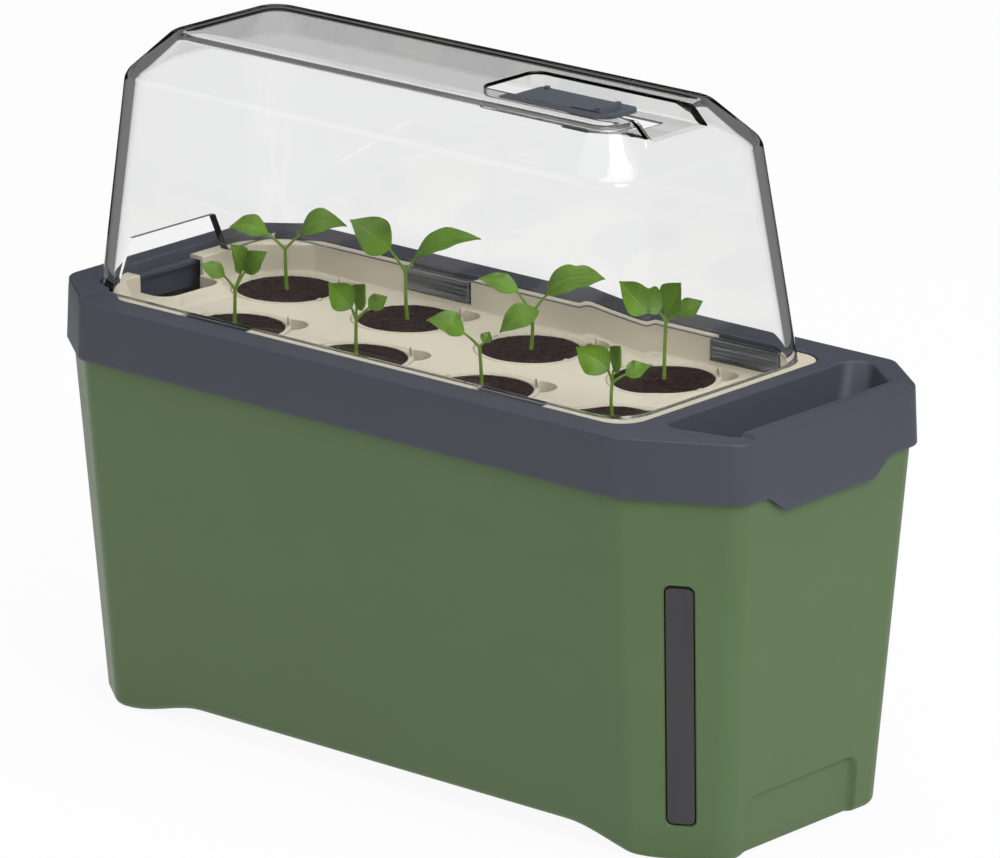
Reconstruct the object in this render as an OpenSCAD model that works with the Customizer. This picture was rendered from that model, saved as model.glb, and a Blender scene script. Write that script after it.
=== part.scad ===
// Herb planter with a clear propagation dome: a tapered pot with a collar rim, a lift-out seed tray
// with eight seed cups, a capillary deck over a water reservoir, and a dome with a sliding vent.
// Millimetres. X runs along the length towards the filler end, -Y is the front, Z is up, and the
// origin lies under the middle of the pot on the surface that it stands on.

/* [Rim] */
// Overall length of the rim
rim_len = 430; // [410:1:470]
// Overall width of the rim
rim_wid = 186; // [182:1:206]
// Height of the rim's skirt
rim_h = 29; // [22:0.5:36]
// Thickness of the rim's top plate
rim_t = 3; // [2:0.25:4]
// Thickness of the rim's skirt
skirt_t = 1.5; // [1.5:0.25:3]
// How far the skirt leans in from its lower to its upper edge
rim_draft = 1.2; // [0.2:0.2:3]
// Softening of the rim's upper edges
rim_edge = 1; // [0.5:0.25:1.5]
// How far the rim's end bars rise above its sides
ridge_h = 2.5; // [1.5:0.25:3.5]
// Bevel on the end bar at the filler end
ridge_bevel = 4; // [2:0.25:5]
// Length of the three plain corner cuts, along X
corner_x = 35; // [28:1:42]
// Length of the three plain corner cuts, along Y
corner_y = 27; // [22:1:32]
// Length of the corner cut that carries the sight glass, along X
sight_cut_x = 53; // [46:1:56]
// Length of the corner cut that carries the sight glass, along Y
sight_cut_y = 29.5; // [26:0.5:33]
// Rounding of the rim's corners, seen from above
rim_r = 12; // [6:0.5:14]
// Gap between the rim's skirt and the pot
rim_fit = 0.3; // [0.2:0.05:0.6]

/* [Rim opening and filler] */
// Width of the rim's bar at the plain end
bar_left = 13; // [12:0.5:16]
// Width of the rim's bars along the sides
bar_side = 18; // [17:0.5:20]
// Distance from the filler end to the tray opening
bar_right = 62; // [60:1:70]
// Corner cut of the tray opening, along X
open_cut_x = 32; // [26:1:36]
// Corner cut of the tray opening, along Y
open_cut_y = 27; // [22:1:32]
// Rounding of the tray opening
open_r = 14; // [8:1:18]
// Depth of the collar round the tray opening
collar_h = 16; // [12:1:24]
// Wall of the collar and of the filler chute
collar_t = 2.5; // [1.5:0.25:3]
// Width of the ledge that carries the tray
ledge_w = 4; // [3:0.25:5]
// Thickness of the ledge
ledge_t = 2.5; // [1.5:0.25:3.5]
// Bar between the tray opening and the filler
filler_bar = 10; // [9:0.5:12]
// Length of the filler mouth along X
filler_len = 41; // [34:1:41]
// Distance from the rim's front to the filler's inner corner
front_in = 30; // [26:0.5:36]
// Distance from the rim's front to the filler's outer corner
front_out = 39; // [37:0.5:44]
// Distance from the rim's back to the filler's inner corner
back_in = 17; // [16:0.5:24]
// Distance from the rim's back to the filler's outer corner
back_out = 35; // [33:0.5:42]
// Distance from the rim's back to the filler's nook
nook_in = 11; // [11:0.5:14]
// Distance from the filler's inner side to its nook
nook_x = 10; // [6:0.5:12]
// Rounding of the filler's corners
filler_r = 4; // [2:0.5:5]
// Depth of the filler chute
filler_depth = 34; // [24:1:44]
// How far the filler's inner wall slopes
filler_slope = 10; // [4:1:14]
// How far the grip lip hangs below the skirt
lip_drop = 9; // [5:0.5:14]
// Length of the grip lip at its lower edge
lip_len = 66; // [40:1:76]
// Run of each end of the grip lip
lip_ramp = 13; // [8:1:18]

/* [Pot] */
// Height of the pot's upper edge
pot_h = 207; // [184:1:234]
// Wall of the pot
pot_wall = 3; // [2:0.25:4]
// How far the pot's sides lean in from the rim to the foot
pot_draft = 14.2; // [10:0.2:18]
// Rounding of the pot's upright edges
pot_r = 12; // [4:0.5:14]
// Rounding of the pot's lower edge
foot_r = 4; // [3:0.5:8]
// Height of the arch under the long sides
arch_h = 9.5; // [7:0.5:16]
// Half length of the flat part of the arch
arch_half = 118; // [100:1:125]
// Run of each end of the arch
arch_ramp = 52; // [35:1:56]
// Height of the low arch under the ends
end_arch_h = 1.5; // [1:0.25:5]
// Width of the shallow recess in each end
recess_w = 82; // [60:1:90]
// Height of the recess
recess_h = 30; // [22:1:40]
// Depth of the recess
recess_d = 2.5; // [1.5:0.25:4]
// Rounding of the recess
recess_r = 8; // [3:0.5:10]

/* [Sight glass] */
// Width of the window in the pot
sight_w = 14.5; // [12:0.5:18]
// Height of the window
sight_h = 121; // [90:1:128]
// Height of the window's lower end, along the wall
sight_z = 18; // [16:1:26]
// How far the window lies from the middle of its face towards the filler end
sight_shift = 1.5; // [0:0.25:3]
// Rounding of the window's corners
sight_r = 3.5; // [2:0.25:5]
// Gap round the pane
sight_fit = 0.35; // [0.2:0.05:0.6]
// How far the pane lies behind the wall's outer face
sight_set = 0.8; // [0.4:0.1:1.5]
// Width of the pane's hidden flange
sight_flange = 4; // [3:0.5:6]
// Thickness of the pane's hidden flange
sight_flange_t = 2; // [1:0.25:3]
// Thickness of the gasket
gasket_t = 1.5; // [1:0.25:2.5]

/* [Seed tray] */
// Gap between the tray and the rim
tray_fit = 0.5; // [0.3:0.05:0.8]
// How far the tray's flange lies below the rim's top
tray_set = 1; // [0.5:0.1:2]
// Width of the tray's flange
flange_w = 9; // [8:0.5:10]
// Thickness of the flange
flange_t = 2; // [1.5:0.25:2.5]
// Depth of the tray from its flange to its floor
tray_depth = 14.5; // [13:0.5:18]
// Wall of the tray
tray_wall = 2; // [1.5:0.25:2.5]
// Thickness of the tray's floor
tray_floor_t = 2.5; // [2.5:0.25:4]
// Width of the bay at the plain end
bay_w = 42; // [34:1:46]
// How far the bay reaches into the tray
bay_len = 25; // [20:1:28]
// How far the bay lies towards the front
bay_shift = 11; // [6:0.5:14]
// Rounding of the bay
bay_r = 9; // [4:0.5:12]
// Thickness of the raised edge round the bay
bay_edge = 1.6; // [1:0.2:2.5]
// Height of that edge above the tray's floor
bay_rise = 5; // [2:0.5:6]
// How far its slope reaches into the tray
bay_ramp = 9; // [5:0.5:12]

/* [Seed cups] */
// Distance from the tray opening's plain end to the first cup of the front row
front_first = 73; // [66:1:74]
// Distance from the last cup of the front row to the tray opening's filler end
front_last = 42; // [40:1:54]
// Distance of each row from the tray opening's side
row_in = 41; // [40:0.5:44]
// How far the back row is shifted towards the plain end
row_shift = 28; // [24:1:30]
// Outer diameter of a cup
cup_d = 52; // [46:0.5:54]
// Wall of a cup
cup_wall = 1.2; // [0.9:0.1:1.6]
// Depth of a cup below the tray's floor
cup_depth = 46; // [36:1:56]
// How far a cup narrows to its bottom, on the radius
cup_taper = 4; // [2:0.5:6]
// Width of the cup's ring
cup_ring = 1.6; // [1.2:0.1:2.2]
// Thickness of the cup's ring
cup_ring_t = 1.2; // [0.8:0.1:1.6]
// Width of the flat top of the cup's ring, outside the soil
cup_lip = 0.9; // [0.7:0.1:1.2]
// Gap between a cup and the tray
cup_fit = 0.4; // [0.3:0.05:0.7]
// Diameter of the wicking hole in a cup
cup_hole_d = 16; // [8:1:20]
// Height of a cup's pull tab above the tray's floor
tab_h = 4; // [2.5:0.25:6]
// Width of a cup's pull tab
tab_w = 7; // [5:0.5:9]
// Height of a cup's two low nubs above the tray's floor
nub_h = 1; // [0.6:0.1:1.6]
// Width of a cup's nubs
nub_w = 4; // [3:0.25:5]
// Radius of the finger scoop beside a cup
scoop_r = 10; // [8:0.5:12]
// Depth of the finger scoop
scoop_depth = 6; // [4:0.5:9]
// Direction of the pull tab, from +X
scoop_turn = 50; // [30:1:70]
// How far the soil lies below the cup's ring
soil_set = 0.3; // [0.2:0.05:0.6]
// Gap between the soil plug and its cup
soil_fit = 0.3; // [0.2:0.05:0.6]

/* [Seedlings] */
// Diameter of a seedling's stem at the soil
stem_d = 2.4; // [1.8:0.1:3.2]
// Thickness of a leaf
leaf_t = 0.9; // [0.6:0.1:1.4]
// Direction in which the seedlings spread their leaves
leaf_turn = 42; // [30:1:50]

/* [Reservoir] */
// Thickness of the capillary deck
deck_t = 3; // [2.5:0.25:5]
// Thickness of the capillary mat
mat_t = 2.5; // [1.5:0.25:4]
// Gap between the cups and the mat
mat_gap = 0.5; // [0.3:0.1:1]
// Gap between the deck and the pot
deck_fit = 0.5; // [0.3:0.05:1]
// Distance of the wick baskets from the rim's ends
wick_in = 130; // [120:1:140]
// Outer diameter of a wick basket
wick_d = 30; // [24:1:36]
// Wall of a wick basket
wick_wall = 1.5; // [1:0.25:2]
// Width of the flange of a wick basket
wick_flange = 4; // [3:0.5:5]
// Thickness of that flange
wick_flange_t = 1.5; // [1:0.25:2]
// Gap between a wick basket and the reservoir's floor
wick_lift = 3; // [2:0.5:6]
// Diameter of the deck's legs
leg_d = 12; // [8:0.5:16]
// Distance of the legs from the middle along X
leg_x = 40; // [30:1:48]
// Distance of the legs from the middle along Y
leg_y = 45; // [36:1:50]
// Diameter of the holes in the deck
deck_hole_d = 7; // [4:0.5:9]
// Distance between the holes in the deck
deck_hole_pitch = 60; // [54:1:64]

/* [Dome] */
// Wall of the dome
dome_t = 3.5; // [2.5:0.25:4]
// Distance from the tray's edge to the dome's wall
dome_seat = 5; // [4:0.25:5.5]
// Height of the dome's walls
wall_h = 108; // [90:1:130]
// How far the walls lean in
dome_lean = 9; // [7:0.5:12]
// Height of the bevel over the walls
bevel_h = 21; // [18:0.5:30]
// How far the bevel leans in
bevel_in = 21; // [17:0.5:23]
// How far the dome's top lies towards the plain end
dome_rake = 4; // [0:0.5:5]
// Rounding of the dome's upright edges at the foot
dome_r = 16; // [13:0.5:18]
// Rounding of the dome's upright edges at the bevel
eaves_r = 22; // [16:0.5:24]
// Rounding of the corners of the dome's top
top_r = 10; // [6:0.5:12]
// Width of the clip tabs
clip_w = 42; // [34:1:46]
// Length of the clip tabs below the dome's edge
clip_h = 11; // [7:0.5:11]
// How far the clip tabs reach in from the dome's outer face
clip_in = 5.5; // [4.5:0.25:6.5]
// Gap between a clip tab and the tray
clip_fit = 1; // [0.6:0.1:1.5]
// Gap between the dome's edge and its grooves in the rim
groove_fit = 0.5; // [0.3:0.05:0.8]
// Height of the cut-out over the bay
cut_h = 21; // [14:0.5:26]
// Width of the cut-out at its top
cut_w = 59; // [48:1:64]
// How much wider the cut-out is at the foot, on each side
cut_flare = 11; // [6:0.5:14]

/* [Vent] */
// Depth of the channel in the dome's top
channel_depth = 9; // [7:0.5:11]
// Width of the channel
channel_w = 40; // [36:0.5:44]
// Distance from the filler end of the dome's top to the channel's closed end
channel_len = 97; // [94:1:118]
// Rounding of the channel's closed end
channel_r = 6; // [3:0.5:9]
// Width of the vent slot
slot_w = 22; // [16:0.5:24]
// Length of the vent slot
slot_len = 48; // [46:1:52]
// Distance from the filler end of the dome's top to the slot
slot_end = 10; // [8:0.5:14]
// Length of the slider
slider_len = 60; // [56:1:62]
// Length of the slider behind the middle of its neck
slider_tail = 47; // [44:0.5:48]
// Width of the slider
slider_w = 32; // [27:0.5:34]
// Thickness of the slider's plate
slider_t = 3; // [2:0.25:3.5]
// Gap between the slider and the dome
slider_fit = 0.3; // [0.2:0.05:0.5]
// How far the slider moves to open fully
vent_open = 6; // [4:0.5:8]
// How far the slider moves to close
vent_close = 24; // [18:0.5:25]
// Gap between the slider's neck and the slot's ends at its stops
stop_fit = 1; // [0.5:0.1:1.5]
// Width of the retaining foot below the slot
foot_w = 28; // [26:0.5:32]
// Thickness of the retaining foot
foot_t = 2; // [1.5:0.25:3]
// Height of the slider's finger tab
grip_h = 5; // [3:0.5:6]

/* [Hidden] */
$fn = 48;
eps = 0.01;
past = 1;

// Levels, from the foot up
rim_top = pot_h + rim_t;
skirt_z = rim_top - rim_h;
band_z = skirt_z + rim_t;
flange_z = rim_top - tray_set;
floor_z = flange_z - tray_depth;
soil_z = floor_z - soil_set;
cup_z = floor_z - cup_depth;
mat_z = cup_z - mat_gap - mat_t;
deck_z = mat_z - deck_t;
ground_z = arch_h + pot_wall;
ridge_z = rim_top + ridge_h;
ridge_short = rim_r / 3;
eaves_z = flange_z + wall_h;
top_z = eaves_z + bevel_h;
channel_z = top_z - channel_depth;

// Plan outlines, as corner points counter-clockwise
half_l = rim_len / 2;
half_w = rim_wid / 2;
rim_plan = [
    [half_l, sight_cut_y - half_w],
    [half_l, half_w - corner_y],
    [half_l - corner_x, half_w],
    [corner_x - half_l, half_w],
    [-half_l, half_w - corner_y],
    [-half_l, corner_y - half_w],
    [corner_x - half_l, -half_w],
    [half_l - sight_cut_x, -half_w],
];
open_x0 = bar_left - half_l;
open_x1 = half_l - bar_right;
open_y = half_w - bar_side;
open_plan = [
    [open_x1, -open_y],
    [open_x1, open_y],
    [open_x0 + open_cut_x, open_y],
    [open_x0, open_y - open_cut_y],
    [open_x0, open_cut_y - open_y],
    [open_x0 + open_cut_x, -open_y],
];
tray_in = tray_fit + flange_w;
dome_in = tray_fit + dome_seat;
dome_plan = [
    [open_x1 - dome_in, dome_in - open_y],
    [open_x1 - dome_in, open_y - dome_in],
    [open_x0 + dome_in, open_y - dome_in],
    [open_x0 + dome_in, dome_in - open_y],
];
wick_x = half_l - wick_in;
filler_x0 = open_x1 + filler_bar;
filler_x1 = filler_x0 + filler_len;
filler_plan = [
    [filler_x1, front_out - half_w],
    [filler_x1, half_w - back_out],
    [filler_x0 + nook_x, half_w - nook_in],
    [filler_x0, half_w - back_in],
    [filler_x0, front_in - half_w],
];
chute_plan = [
    [filler_x1, front_out - half_w],
    [filler_x1, half_w - back_out],
    [filler_x0 + filler_slope, half_w - back_out],
    [filler_x0 + filler_slope, front_out - half_w],
];

// Insets of the pot's outer face from the rim's outline
pot_top_in = rim_draft + skirt_t + rim_fit;
pot_foot_in = pot_top_in + pot_draft;
pot_tilt = atan(pot_draft / band_z);
wall_n = pot_wall * cos(pot_tilt);
function pot_in(z) = pot_foot_in - pot_draft * z / band_z;

// Cup places: the front row first, then the back row
cup_row = 4;
front_x = open_x0 + front_first;
cup_pitch = (open_x1 - front_last - front_x) / (cup_row - 1);
row_y = open_y - row_in;
cup_places = [
    for (row = [0, 1])
        for (i = [0 : cup_row - 1])
            [front_x - row * row_shift + i * cup_pitch, (2 * row - 1) * row_y],
];
cup_ring_r = cup_d / 2 + cup_ring;

// Clip tabs, in cup distances from the first cup of the back row and of the front row
back_clips = [0.9, 3.3];
front_clips = [0.25, 2.6];
clip_places = [
    for (share = back_clips) [front_x - row_shift + share * cup_pitch, 1],
    for (share = front_clips) [front_x + share * cup_pitch, -1],
];

// Vent places along X
dome_x1 = open_x1 - dome_in;
top_x1 = dome_x1 - dome_lean - bevel_in - dome_rake;
channel_x0 = top_x1 - channel_len;
slot_x1 = top_x1 - slot_end;
slot_x0 = slot_x1 - slot_len;
neck_x0 = slot_x0 + stop_fit + vent_open;
neck_x1 = slot_x1 - stop_fit - vent_close;
slider_x0 = (neck_x0 + neck_x1) / 2 - slider_tail;

// Seedlings: the stem's top, then each leaf's foot, tip, width, arch, cupping and roll to the front.
// Points are [across, back, up] from the stem's foot, seen along the spreading direction.
seedlings = [
    [[0.5, 0, 20], [
        [[-4.5, 0, 27], [-16, 1, 33], 8, 0, 1, 40],
        [[4, 0, 29], [-1, -4, 44], 12, 1, 2, 70],
        [[5, 0, 29], [16, -3, 40], 10, 1, 1, 60]]],
    [[0, 0, 20], [
        [[-2, 0, 26], [-13, -2, 39], 12, -1, 2, 70],
        [[0, 0, 26], [4, -4, 39], 13, -1, 2, 70],
        [[6, 0, 26], [15, 2, 31], 8, 0, 1, 40]]],
    [[-1, 0, 22], [
        [[-8, 0, 29], [-26, -2, 36], 11, 4, 1, 45],
        [[1, 0, 24], [4, 2, 29], 5, 0.5, 0.5, 40]]],
    [[-0.5, 0, 20], [
        [[-2, 0, 26], [-16, -2, 38], 12, -1, 2, 70],
        [[0, 0, 26], [3, -4, 39], 14, -1, 2, 70],
        [[6, 0, 24], [17, 2, 28], 8, 0, 1, 40]]],
    [[-0.5, 0, 21], [
        [[-9, 0, 29], [-28, 2, 32], 11, 4, 1, 35],
        [[7, 0, 29], [30, -1, 33], 12, 8, 1, 40]]],
    [[-0.5, 0, 24], [
        [[-8, -1, 36], [-27.5, -5, 52], 16, 2, 1, 66],
        [[4, 0, 32], [36, -4, 42], 12, 6, 1, 32]]],
    [[0.5, 0, 18], [
        [[4, -1, 20], [-15, -4, 10], 11, 5, 1, 45],
        [[-6, 2, 29], [-25, 4, 35], 9, 2, 1, 40],
        [[7, 0, 28], [33, -2, 36], 13, 7, 1, 40]]],
    [[0.5, 0, 29], [
        [[-2, 0, 34], [-19, -2, 50], 13, -1, 2, 70],
        [[0, 0, 34], [7, -5, 50], 15, -1, 2, 70],
        [[6, 0, 33], [18, 2, 39], 9, 0, 1, 40]]],
];

// Leaf shape: where the blade is widest and its least half width, then its stalk's thicknesses
// as shares of the stem and its reaches into the blade as shares of the blade's length
leaf_swell = 0.85;
leaf_min = 0.5;
stalk_share = [0.6, 0.5];
stalk_reach = [0.06, 0.1];

// Plan geometry

function unit(v) = v / norm(v);

function before(p, i) = p[(i + len(p) - 1) % len(p)];

function after(p, i) = p[(i + 1) % len(p)];

// Half the angle at corner i of a convex outline
function half_angle(p, i) = acos(unit(before(p, i) - p[i]) * unit(after(p, i) - p[i])) / 2;

// Direction from corner i into the outline
function inward(p, i) = unit(unit(before(p, i) - p[i]) + unit(after(p, i) - p[i]));

// A convex outline moved in by d on every side
function inset(p, d) = [
    for (i = [0 : len(p) - 1])
        p[i] + inward(p, i) * d / sin(half_angle(p, i)),
];

// A convex outline with its corners rounded to r
function rounded(p, r, steps = 6) = [
    for (i = [0 : len(p) - 1])
        let (
            half = half_angle(p, i),
            centre = p[i] + inward(p, i) * r / sin(half),
            start = p[i] + unit(before(p, i) - p[i]) * r / tan(half) - centre,
            first = atan2(start.y, start.x)
        )
        for (k = [0 : steps])
            let (a = first + (180 - 2 * half) * k / steps)
            centre + r * [cos(a), sin(a)],
];

function pot_outline(d) = rounded(inset(rim_plan, d), pot_r);

function opening(d) = rounded(inset(open_plan, d), max(open_r - d, 1));

// The dome's outline, moved by a share of its rake
function dome_outline(d, r, share = 0) = [
    for (p = rounded(inset(dome_plan, d), r)) p - [dome_rake * share, 0],
];

function box_plan(x0, x1, y0, y1) = [[x0, y0], [x1, y0], [x1, y1], [x0, y1]];

module prism(plan, z0, z1) {
    translate([0, 0, z0])
        linear_extrude(z1 - z0)
            polygon(plan);
}

// A thin slice of a lofted shell
module slice(plan, z) {
    prism(plan, z, z + eps);
}

module ring(outer, inner, z0, z1) {
    difference() {
        prism(outer, z0, z1);
        prism(inner, z0 - past, z1 + past);
    }
}

// Outer pot

// Rise of the underside along X: a flat arch with smooth ends
module arch(height, spread) {
    steps = 8;
    ramp = [
        for (k = [0 : steps])
            let (t = k / steps)
            [-arch_half - spread - arch_ramp * (1 - t), height * t * t * (3 - 2 * t)],
    ];
    other = [for (k = [0 : steps]) [-ramp[steps - k].x, ramp[steps - k].y]];
    base = [[-ramp[0].x, -past], [ramp[0].x, -past]];
    rotate([90, 0, 0])
        linear_extrude(rim_wid, center = true)
            polygon(concat(ramp, other, base));
}

// Space under both ends of the pot
module end_arch(height, spread) {
    w = recess_w + 2 * spread;
    translate([-half_l, -w / 2, -past])
        cube([rim_len, w, height + past]);
}

// Puts a shape on the sloping face at both ends; local +X points out of the face
module on_ends() {
    for (turn = [0, 180])
        rotate([0, 0, turn])
            translate([half_l - pot_foot_in, 0, 0])
                rotate([0, pot_tilt, 0])
                    children();
}

module end_recess(depth, spread) {
    r = recess_r + spread;
    half = recess_w / 2 + spread;
    plan = rounded(box_plan(-recess_h - spread, foot_r + r, -half, half), r);
    on_ends()
        translate([-depth, 0, 0])
            rotate([0, 90, 0])
                linear_extrude(2 * pot_draft)
                    polygon(plan);
}

module pot_outside() {
    curl_z = foot_r * (1 - cos(60));
    hull() {
        slice(pot_outline(pot_in(0) + foot_r), 0);
        slice(pot_outline(pot_in(curl_z) + foot_r * (1 - sin(60))), curl_z);
        slice(pot_outline(pot_in(foot_r)), foot_r);
        slice(pot_outline(pot_top_in), band_z);
    }
    prism(pot_outline(pot_top_in), band_z, pot_h);
}

module pot_inside() {
    curl_z = pot_wall + foot_r;
    difference() {
        union() {
            hull() {
                slice(pot_outline(pot_in(pot_wall) + foot_r), pot_wall);
                slice(pot_outline(pot_in(curl_z) + pot_wall), curl_z);
                slice(pot_outline(pot_top_in + pot_wall), band_z);
            }
            prism(pot_outline(pot_top_in + pot_wall), band_z, pot_h + past);
        }
        arch(arch_h + pot_wall, pot_wall);
        end_arch(end_arch_h + pot_wall, pot_wall);
        end_recess(recess_d + pot_wall, pot_wall);
    }
}

// Puts a shape on the corner face that carries the window; local +X points out of the face
module on_sight_face() {
    foot = inset(rim_plan, pot_foot_in);
    middle = (foot[0] + foot[7]) / 2;
    translate([middle.x, middle.y, 0])
        rotate([0, 0, -atan2(sight_cut_x, sight_cut_y)])
            rotate([0, pot_tilt, 0])
                translate([0, sight_shift, sight_z])
                    children();
}

// An upright rounded plate in the window's place, from x0 to x1 along its normal
module sight_plate(grow, x0, x1) {
    half = sight_w / 2 + grow;
    plan = rounded(box_plan(-sight_h - grow, grow, -half, half), sight_r + grow);
    translate([x0, 0, 0])
        rotate([0, 90, 0])
            linear_extrude(x1 - x0)
                polygon(plan);
}

module outer_pot() {
    color([0.33, 0.43, 0.29])
        difference() {
            pot_outside();
            pot_inside();
            arch(arch_h, 0);
            end_arch(end_arch_h, 0);
            end_recess(recess_d, 0);
            on_sight_face()
                sight_plate(0, -2 * pot_wall, pot_wall);
        }
}

module sight_gasket() {
    color([0.1, 0.1, 0.1])
        on_sight_face()
            difference() {
                sight_plate(sight_flange, -wall_n - gasket_t, -wall_n);
                sight_plate(0, -2 * pot_wall - gasket_t, 0);
            }
}

module sight_glass() {
    color([0.2, 0.2, 0.22])
        on_sight_face() {
            sight_plate(-sight_fit, -wall_n - gasket_t - sight_flange_t, -sight_set);
            sight_plate(sight_flange, -wall_n - gasket_t - sight_flange_t, -wall_n - gasket_t);
        }
}

// Rim frame

module rim_outside() {
    hull() {
        slice(rounded(rim_plan, rim_r), skirt_z);
        slice(rounded(inset(rim_plan, rim_draft), rim_r), rim_top - rim_edge);
        slice(rounded(inset(rim_plan, rim_draft + rim_edge), rim_r), rim_top - eps);
    }
}

// A slice of the rim's plain end, moved in by d
module plain_end(d, z) {
    intersection() {
        slice(rounded(inset(rim_plan, d), rim_r), z);
        translate([-half_l, -half_w, z - past])
            cube([corner_x, rim_wid, 2 * past]);
    }
}

// The rise of the plain end's bar above the sides
module plain_ridge() {
    hull() {
        plain_end(rim_draft, rim_top - rim_edge);
        plain_end(rim_draft, ridge_z - rim_edge);
        plain_end(rim_draft + rim_edge, ridge_z - eps);
    }
}

// Outline of the bar at the filler end, moved in on its outer side and at its ends
function ridge_plan(outer, ends) = box_plan(
    filler_x1 - past,
    half_l - rim_draft - outer,
    sight_cut_y - half_w + ridge_short + ends,
    half_w - corner_y - ridge_short - ends
);

// The rise of the filler end's bar, with its bevel
module filler_ridge() {
    hull() {
        slice(ridge_plan(0, 0), rim_top - rim_edge);
        slice(ridge_plan(0, 0), rim_top + rim_edge / 2);
        slice(ridge_plan(ridge_bevel, rim_edge), ridge_z - eps);
    }
}

// The grip lip below the skirt at the filler end
module grip_lip() {
    edge = lip_len / 2 + lip_ramp;
    thick = skirt_t + rim_draft;
    plan = [
        [-edge, skirt_z],
        [-lip_len / 2, skirt_z - lip_drop],
        [lip_len / 2, skirt_z - lip_drop],
        [edge, skirt_z],
        [edge, skirt_z + rim_edge],
        [-edge, skirt_z + rim_edge],
    ];
    translate([half_l - thick, 0, 0])
        rotate([90, 0, 90])
            linear_extrude(thick)
                polygon(plan);
}

// The filler mouth, or its chute when grown by a wall
module filler(grow, z0, z1) {
    hull() {
        slice(rounded(inset(chute_plan, -grow), filler_r + grow), z0);
        slice(rounded(inset(filler_plan, -grow), filler_r + grow), z1 - eps);
    }
}

// The groove that takes the dome's edge where it crosses the rim
module dome_groove() {
    z = flange_z - groove_fit;
    ring(
        dome_outline(-groove_fit, dome_r + groove_fit),
        dome_outline(dome_t + 2 * groove_fit, dome_r - dome_t - 2 * groove_fit),
        z,
        ridge_z + past
    );
}

module rim_frame() {
    chute_z = rim_top - filler_depth;
    ledge_z = flange_z - flange_t;
    color([0.29, 0.31, 0.35])
        difference() {
            union() {
                difference() {
                    rim_outside();
                    prism(rounded(inset(rim_plan, rim_draft + skirt_t), pot_r), skirt_z - past, pot_h);
                }
                ring(opening(-collar_t), opening(0), pot_h - collar_h, pot_h);
                ring(opening(-collar_t), opening(ledge_w), ledge_z - ledge_t, ledge_z);
                filler(collar_t, chute_z, pot_h);
                plain_ridge();
                filler_ridge();
                grip_lip();
            }
            prism(opening(0), ledge_z, ridge_z + past);
            filler(0, chute_z - past, ridge_z + past);
            dome_groove();
        }
}

// Reservoir

module deck_plan(d) {
    intersection() {
        polygon(pot_outline(pot_in(deck_z) + pot_wall + deck_fit + d));
        translate([-half_l, -half_w])
            square([half_l + open_x1 - d, rim_wid]);
    }
}

module capillary_deck() {
    hole_rows = [-2 : 2];
    color([0.25, 0.26, 0.28])
        difference() {
            union() {
                translate([0, 0, deck_z])
                    linear_extrude(deck_t)
                        deck_plan(0);
                for (x = [-leg_x, leg_x], y = [-leg_y, leg_y])
                    translate([x, y, ground_z])
                        cylinder(d = leg_d, h = deck_z - ground_z + eps);
            }
            for (x = [-wick_x, wick_x]) {
                translate([x, 0, deck_z - past])
                    cylinder(d = wick_d + 2 * deck_fit, h = deck_t + 2 * past);
                translate([x, 0, mat_z - wick_flange_t])
                    cylinder(d = wick_d + 2 * wick_flange + 2 * deck_fit, h = deck_t);
            }
            for (i = hole_rows, y = [-leg_y, leg_y])
                translate([i * deck_hole_pitch, y / 2, deck_z - past])
                    cylinder(d = deck_hole_d, h = deck_t + 2 * past);
        }
}

module capillary_mat() {
    color([0.75, 0.74, 0.7])
        translate([0, 0, mat_z])
            linear_extrude(mat_t)
                deck_plan(2 * pot_wall);
}

module wick_basket(x) {
    r = wick_d / 2;
    z0 = ground_z + wick_lift;
    rows = 3;
    step = (mat_z - z0) / (2 * rows + 1);
    color([0.25, 0.26, 0.28])
        translate([x, 0, 0])
            difference() {
                union() {
                    translate([0, 0, z0])
                        cylinder(r = r, h = mat_z - z0);
                    translate([0, 0, mat_z - wick_flange_t])
                        cylinder(r = r + wick_flange, h = wick_flange_t);
                }
                translate([0, 0, z0 + wick_wall])
                    cylinder(r = r - wick_wall, h = mat_z);
                for (turn = [0, 60, 120], row = [0 : rows - 1])
                    translate([0, 0, z0 + (2 * row + 1) * step])
                        rotate([0, 0, turn])
                            translate([-wick_d, -wick_wall, 0])
                                cube([2 * wick_d, 2 * wick_wall, step]);
            }
}

module wick_core(x) {
    z0 = ground_z + wick_lift + wick_wall;
    color([0.85, 0.84, 0.8])
        translate([x, 0, z0])
            cylinder(r = wick_d / 2 - wick_wall - soil_fit, h = mat_z - z0);
}

module wick_basket_left() { wick_basket(-wick_x); }
module wick_basket_right() { wick_basket(wick_x); }
module wick_core_left() { wick_core(-wick_x); }
module wick_core_right() { wick_core(wick_x); }

// Seed tray

// Outline of the bay, grown into the tray
function bay_plan(grow) = rounded(
    box_plan(
        open_x0 - 2 * bay_r,
        open_x0 + bay_len + grow,
        -bay_shift - bay_w / 2 - grow,
        -bay_shift + bay_w / 2 + grow
    ),
    bay_r + grow
);

module bay(grow) {
    prism(bay_plan(grow), floor_z - tray_floor_t - past, rim_top);
}

// Gap in the flange and wall for one clip tab of the dome
module clip_gap(place) {
    depth = tray_fit + flange_w + tray_wall + past;
    y0 = place.y > 0 ? open_y - depth : -open_y - past;
    translate([place.x - clip_w / 2 - clip_fit, y0, flange_z - clip_h - clip_fit])
        cube([clip_w + 2 * clip_fit, depth + past, clip_h + clip_fit + past]);
}

module cup_hole(place) {
    translate([place.x, place.y, 0]) {
        translate([0, 0, floor_z - scoop_depth - 2 * tray_wall])
            cylinder(d = cup_d + 2 * cup_fit, h = tray_depth + scoop_depth);
        translate([0, 0, floor_z - cup_ring_t])
            cylinder(r = cup_ring_r + cup_fit, h = tray_depth);
        rotate([0, 0, scoop_turn])
            translate([cup_d / 2, 0, floor_z - scoop_depth])
                cylinder(r = scoop_r, h = tray_depth);
    }
}

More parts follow.
